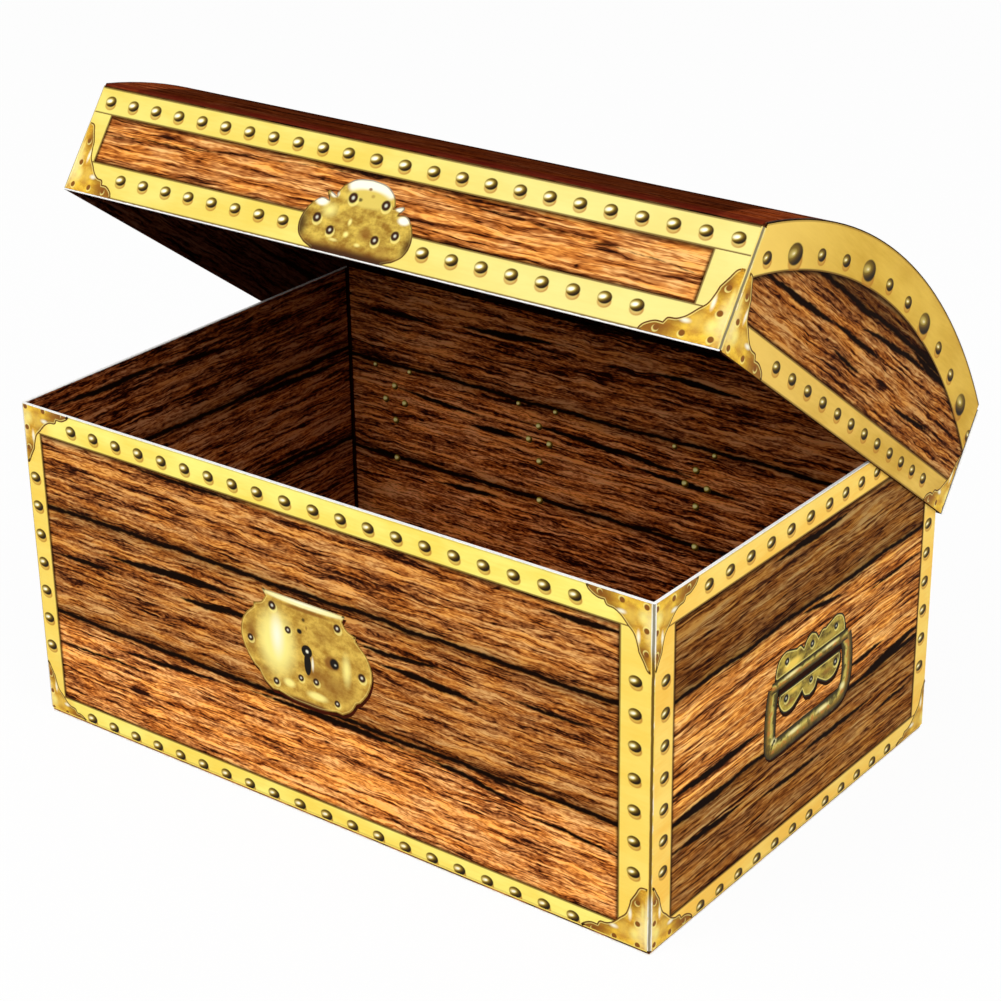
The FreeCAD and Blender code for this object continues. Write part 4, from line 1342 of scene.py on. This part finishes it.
# %% Handle plates
HANDLE_MIDDLE = (3.6, 42.2)
UPPER_PLATE = mirrored(
    ((0.0, 14.9), (2.2, 14.0), (3.6, 12.2)), ((5.2, 13.6), (7.0, 13.4)),
    ((9.6, 14.2), (12.4, 14.8), (15.4, 13.6), (16.8, 11.0), (17.2, 8.0)), ((0.0, 8.0),),
)
LOWER_PLATE = mirrored(
    ((0.0, 3.6), (14.8, 3.6)), ((15.0, 0.6), (12.4, -2.6), (8.6, -3.0), (5.6, -1.5), (3.8, -0.3)),
    ((2.5, -2.3), (0.0, -3.2)),
)
OLIVE = shade(186, 158, 66)
HANDLE_YELLOW = shade(242, 206, 88)
HANDLE_SPOTS = (
    (-9.0, 9.8, 5.8, 1.9, HANDLE_YELLOW, 1.0, 0.4), (9.5, 9.6, 6.0, 1.4, OLIVE, 0.9, 0.2),
    (12.2, 12.0, 3.0, 0.9, HOLE, 0.8, 0.1), (-5.0, 12.0, 3.0, 1.0, DARK_BROWN, 0.7, 0.0),
    (5.0, 11.6, 3.0, 1.0, DARK_BROWN, 0.7, 0.0),
    (-7.5, 1.9, 4.0, 1.3, HANDLE_YELLOW, 0.8, 0.1), (0.5, -1.2, 2.4, 1.4, OLIVE, 0.9, 0.2),
    (-9.5, -0.6, 3.4, 1.2, BROWN, 0.8, 0.1), (8.4, 0.2, 3.6, 1.4, BROWN, 0.7, 0.1),
    (0.0, 3.8, 18.0, 1.0, HOLE, 1.0, 0.5),
)
HANDLE_RIVETS = (
    (-11.6, 11.6, 1.2), (0.5, 11.4, 1.2), (12.2, 11.4, 1.1), (-11.4, 1.2, 1.3), (0.6, 1.3, 1.1),
    (12.6, 1.0, 1.3),
)
HANDLE_GILT = gilt_plate("handle_gilt", shade(78, 60, 14), shade(198, 172, 66), HANDLE_SPOTS, HANDLE_RIVETS,
                         rivet_tint=HOLE, gleam=0.5, outline=1.0, line=0.7, line_tint=shade(24, 17, 4))
HANDLE_RIM = 0.9
HANDLE_PLATES = (UPPER_PLATE, LOWER_PLATE)
print("handle plates with", len(HANDLE_RIVETS), "rivets")

# %% [markdown]
# The rod and bail are strips along a line, and the rim map runs across them, so that a ramp of colours can
# round them as tubes.

# %% Handle tubes
BAIL_END = (17.6, 6.5)
BAIL_LINE = curve(
    ((-17.6, 6.5), (-18.5, 2.0), (-18.8, -4.0), (-18.7, -8.4), (-18.0, -10.3), (-15.0, -10.8), (0.0, -10.5),
     (12.0, -10.4), (15.8, -9.7), (17.9, -7.4), (18.7, -3.6), (18.5, 2.0), BAIL_END),
) + [BAIL_END]
ROD_LINE = [(-18.4, 6.7), (0.0, 6.7), (18.4, 6.7)]
BAIL_HALF_WIDTH = 2.6
ROD_HALF_WIDTH = 1.5
TUBE_STOPS = (
    (0.0, shade(24, 19, 5)), (0.16, shade(64, 56, 16)), (0.38, shade(214, 196, 96)),
    (0.56, shade(164, 130, 48)), (0.80, shade(92, 72, 18)), (1.0, shade(20, 15, 4)),
)
TUBE_GLEAM = shade(250, 238, 168)
TUBE_WORN = shade(70, 56, 12)
TUBE_COPPER = shade(196, 120, 48)
WEAR_STRENGTH = 0.75
GLINT_CORE = 0.2
GLINT_STRENGTH = 0.85
TUBE_GLINTS = (
    (-7.0, -9.9, 4.4, 1.0), (7.0, -9.8, 4.4, 1.0), (-16.7, -8.6, 1.9, 1.5), (16.7, -7.8, 1.9, 1.5),
    (-9.5, 7.2, 5.5, 0.8), (9.5, 7.2, 5.5, 0.8),
)


def tube_material():
    """Old brass tube: dark sides, a light line near its inner side, worn patches and a few bright glints."""
    paint = Printed("handle_tube_gilt")
    along, up = paint.map("print")
    across, _ = paint.map("rim")
    wear = paint.cloud(along / 2.4, up / 2.4, 25.0, 3.0)
    tube = paint.stops(across + (wear - 0.5) * 0.35, *TUBE_STOPS)
    tube = paint.mix(wear.ramp(0.48, 0.36) * WEAR_STRENGTH, tube, TUBE_WORN)
    copper = abs(across - 0.5).ramp(0.3, 0.1) * wear.ramp(0.52, 0.6)
    tube = paint.mix(copper * WEAR_STRENGTH, tube, TUBE_COPPER)
    for ellipse in TUBE_GLINTS:
        glint = blot(along - HANDLE_MIDDLE[0], up - HANDLE_MIDDLE[1], *ellipse).ramp(1.0, GLINT_CORE)
        tube = paint.mix(glint * GLINT_STRENGTH, tube, TUBE_GLEAM)
    return paint.coloured(tube)


def tube_rows(line, half_width, middle):
    """Two corners beside each point of a line, square to it."""
    for before, (x, y), after in zip(line[:1] + line[:-1], line, line[1:] + line[-1:]):
        square = (Vector(after) - Vector(before)).orthogonal().normalized() * half_width
        x, y = middle[0] + x, middle[1] + y
        yield [(x + sign * square.x, y + sign * square.y, {"rim": (edge, 0.0)})
               for sign, edge in ((1, 0.0), (-1, 1.0))]


TUBE_GILT = tube_material()
print("bail", 2 * BAIL_HALF_WIDTH, "mm thick, rod", 2 * ROD_HALF_WIDTH, "mm")

# %% Handles
HANDLE_SHADOW = shadow_print("handle_shadow", shade(52, 22, 8))
SHADOW_ASIDE = 0.5
PLATE_DROP = 1.2
BAIL_DROP = 1.0
ROD_DROP = 2.0
SHADOW_TUBES = (
    (BAIL_LINE, BAIL_HALF_WIDTH - 0.1, shadow_of(HANDLE_MIDDLE, SHADOW_ASIDE, BAIL_DROP)),
    (ROD_LINE, ROD_HALF_WIDTH, shadow_of(HANDLE_MIDDLE, SHADOW_ASIDE, ROD_DROP)),
)
TUBES = (
    ("bail", BAIL_LINE, BAIL_HALF_WIDTH, TRIM_LIFT),
    ("rod", ROD_LINE, ROD_HALF_WIDTH, TRIM_LIFT + BAND_LIFT),
)
for end, side, _ in BODY_ENDS:
    sheet = new_sheet()
    for outline in HANDLE_PLATES:
        add_plate(sheet, outline, shadow_of(HANDLE_MIDDLE, SHADOW_ASIDE, PLATE_DROP))
    for tube in SHADOW_TUBES:
        add_strip(sheet, list(tube_rows(*tube)))
    lay(f"{end}_handle_shadow", side, sheet, SHADOW_LIFT, HANDLE_SHADOW)
    lay_plates(f"{end}_handle_plates", side, HANDLE_PLATES, HANDLE_MIDDLE, PLATE_LIFT, HANDLE_GILT,
               rim_width=HANDLE_RIM)
    for piece, line, half_thick, lift in TUBES:
        rows = tube_rows(line, half_thick, HANDLE_MIDDLE)
        lay_strips(f"{end}_handle_{piece}", side, [rows], lift, TUBE_GILT)
print("two handles")

# %% [markdown]
# Inside, the back wall has three small clusters of printed rivets. Each rivet is a round film, and its
# studs map holds just one stud, so the bands' formula draws it.

# %% Rivets inside
CLUSTER_MIDDLES = (-83.8, -29.0, 26.1)
CLUSTER = (
    (-6.7, 64.4, 0.9), (6.7, 64.8, 0.9), (0.7, 58.9, 1.2), (-3.0, 53.9, 1.2), (4.5, 54.0, 1.2),
    (0.8, 47.6, 1.2), (0.8, 34.9, 1.2),
)
RIVET_SIDES = 16
FAR_FROM_EDGES = (9.0, 9.0)
turns = [math.tau * step / RIVET_SIDES for step in range(RIVET_SIDES)]
ring = [(math.cos(turn), math.sin(turn)) for turn in turns]
sheet = new_sheet()
for middle in CLUSTER_MIDDLES:
    for aside, up, radius in CLUSTER:
        corners = [sheet.verts.new((middle + aside + x * radius, up + y * radius, 0)) for x, y in ring]
        for loop, (x, y) in zip(sheet.faces.new(corners).loops, ring):
            stud_place = (CELL_MIDDLE + x * STUD * STUD_WIDENING, CELL_MIDDLE + y * STUD)
            set_maps(sheet, loop, print=loop.vert.co.xy, studs=stud_place, rim=FAR_FROM_EDGES)
lay("inside_back_rivets", INSIDE_BACK, sheet, BAND_LIFT, INSIDE_GILT)
print("inside rivets:", len(CLUSTER_MIDDLES) * len(CLUSTER))

# %% [markdown]
# ## Worn folds
# Where the card is folded the ink has cracked: a dark line along the fold with white flecks of bare board,
# and the upright folds are rubbed pale near their ends. Each fold gets a narrow quarter-round film whose
# formula follows the length of the fold.
# Along the foot folds the dark line is painted shade, where the walls turn under the box.

# %% Worn folds
FOLD_STEPS = 6
FLECK_PLACE = 0.85
WORN_FADE = 5.0
WORN_GILT = shade(250, 246, 228)
WORN_LINE = shade(132, 126, 100)
WORN_LINE_SHARE = 0.8
FOLD_LINE_STRENGTH = 0.9


def fold_material(name, gilt, line, middle, width, flecks, worn_ends=0.0):
    """Gilt cracked along a fold: a dark line, bare flecks, pale worn ends; on foot folds the line is painted
    shade.
    """
    paint = Printed(name, MATT)
    along, turn = paint.map("print")
    place = (paint.cloud(along / 6, 0.0, 33.0, 3.0) - 0.5) * 0.3 + turn
    worn = paint.cloud(along / 3.5, turn * 1.5, 37.0, 4.0, 0.7)
    if worn_ends:
        worn_top = PRINT_TOP - worn_ends
        near = along.ramp(worn_ends, worn_ends - WORN_FADE).most(along.ramp(worn_top, worn_top + WORN_FADE))
        gilt = paint.mix(near * worn.ramp(0.25, 0.45), gilt, WORN_GILT)
        line = paint.mix(near * WORN_LINE_SHARE, line, WORN_LINE)
    colour = paint.mix(abs(place - middle).ramp(width, width * 0.5) * FOLD_LINE_STRENGTH, gilt, line)
    fleck = abs(place - FLECK_PLACE).ramp(0.2, 0.1) * worn.ramp(0.5, 0.6)
    colour = paint.mix(fleck * flecks, colour, BARE_BOARD)
    return paint.coloured(colour)


def lay_fold(name, body, start, end, first, second, material):
    """A film round a fold from start to end, in millimetres, that turns from facing first to second."""
    sheet = new_sheet()
    radius = board + BAND_LIFT
    length = (end - start).length
    rows = []
    for step in range(FOLD_STEPS + 1):
        turn = step / FOLD_STEPS
        out = first * math.cos(turn * math.pi / 2) + second * math.sin(turn * math.pi / 2)
        rows.append([(sheet.verts.new(placed(body, point + out * radius)), (run, turn))
                     for point, run in ((start, 0.0), (end, length))])
    facing = (end - start).cross(second - first).dot(first + second) > 0
    for here, there in zip(rows, rows[1:]):
        corners = [here[0], here[1], there[1], there[0]][::1 if facing else -1]
        face = sheet.faces.new([vertex for vertex, _ in corners])
        for loop, (_, place) in zip(face.loops, corners):
            set_maps(sheet, loop, print=place)
    make_film(name, sheet, body, material)


BODY_FOLD = fold_material("body_fold_gilt", shade(250, 212, 100), shade(66, 38, 8),
                          middle=0.46, width=0.36, flecks=0.5, worn_ends=17.0)
# The foot folds' dark line is painted shade along the bottom edges of the box.
FOOT_FOLD_WITH_SHADE = fold_material("foot_fold_gilt_and_shade", shade(248, 220, 106), shade(72, 64, 50),
                          middle=0.72, width=0.42, flecks=0.0)
LID_FOLD = fold_material("lid_fold_gilt", shade(238, 212, 120), shade(108, 102, 86),
                         middle=0.45, width=0.3, flecks=0.5)
for name, along, depth, first, second in (
        ("front_left_fold", -flat_width, -flat_depth, -Y, -X),
        ("front_right_fold", flat_width, -flat_depth, -Y, X),
        ("back_left_fold", -flat_width, flat_depth, Y, -X)):
    edge = along * X + depth * Y
    lay_fold(name, "root", edge + wall_foot * Z, edge + PRINT_TOP * Z, first, second, BODY_FOLD)
for name, along, out in (("left_foot_fold", -flat_width, -X), ("right_foot_fold", flat_width, X)):
    edge = along * X + wall_foot * Z
    lay_fold(name, "root", edge - flat_depth * Y, edge + flat_depth * Y, out, -Z, FOOT_FOLD_WITH_SHADE)
edge = -flat_depth * Y + wall_foot * Z
lay_fold("front_foot_fold", "root", edge - flat_width * X, edge + flat_width * X, -Y, -Z, FOOT_FOLD_WITH_SHADE)
for name, along, out in (("lid_left_fold", -lid_flat_width, -X), ("lid_right_fold", lid_flat_width, X)):
    edge = along * X - lid_flat_depth * Y
    lay_fold(name, "lid", edge + LIP_FOOT * Z, edge + LIP_TOP * Z, -Y, out, LID_FOLD)
print("worn folds: 8")

# %% [markdown]
# ## Finish
# The view layer is brought up to date, so every piece stands where it was laid.

# %% Finish
bpy.context.view_layer.update()
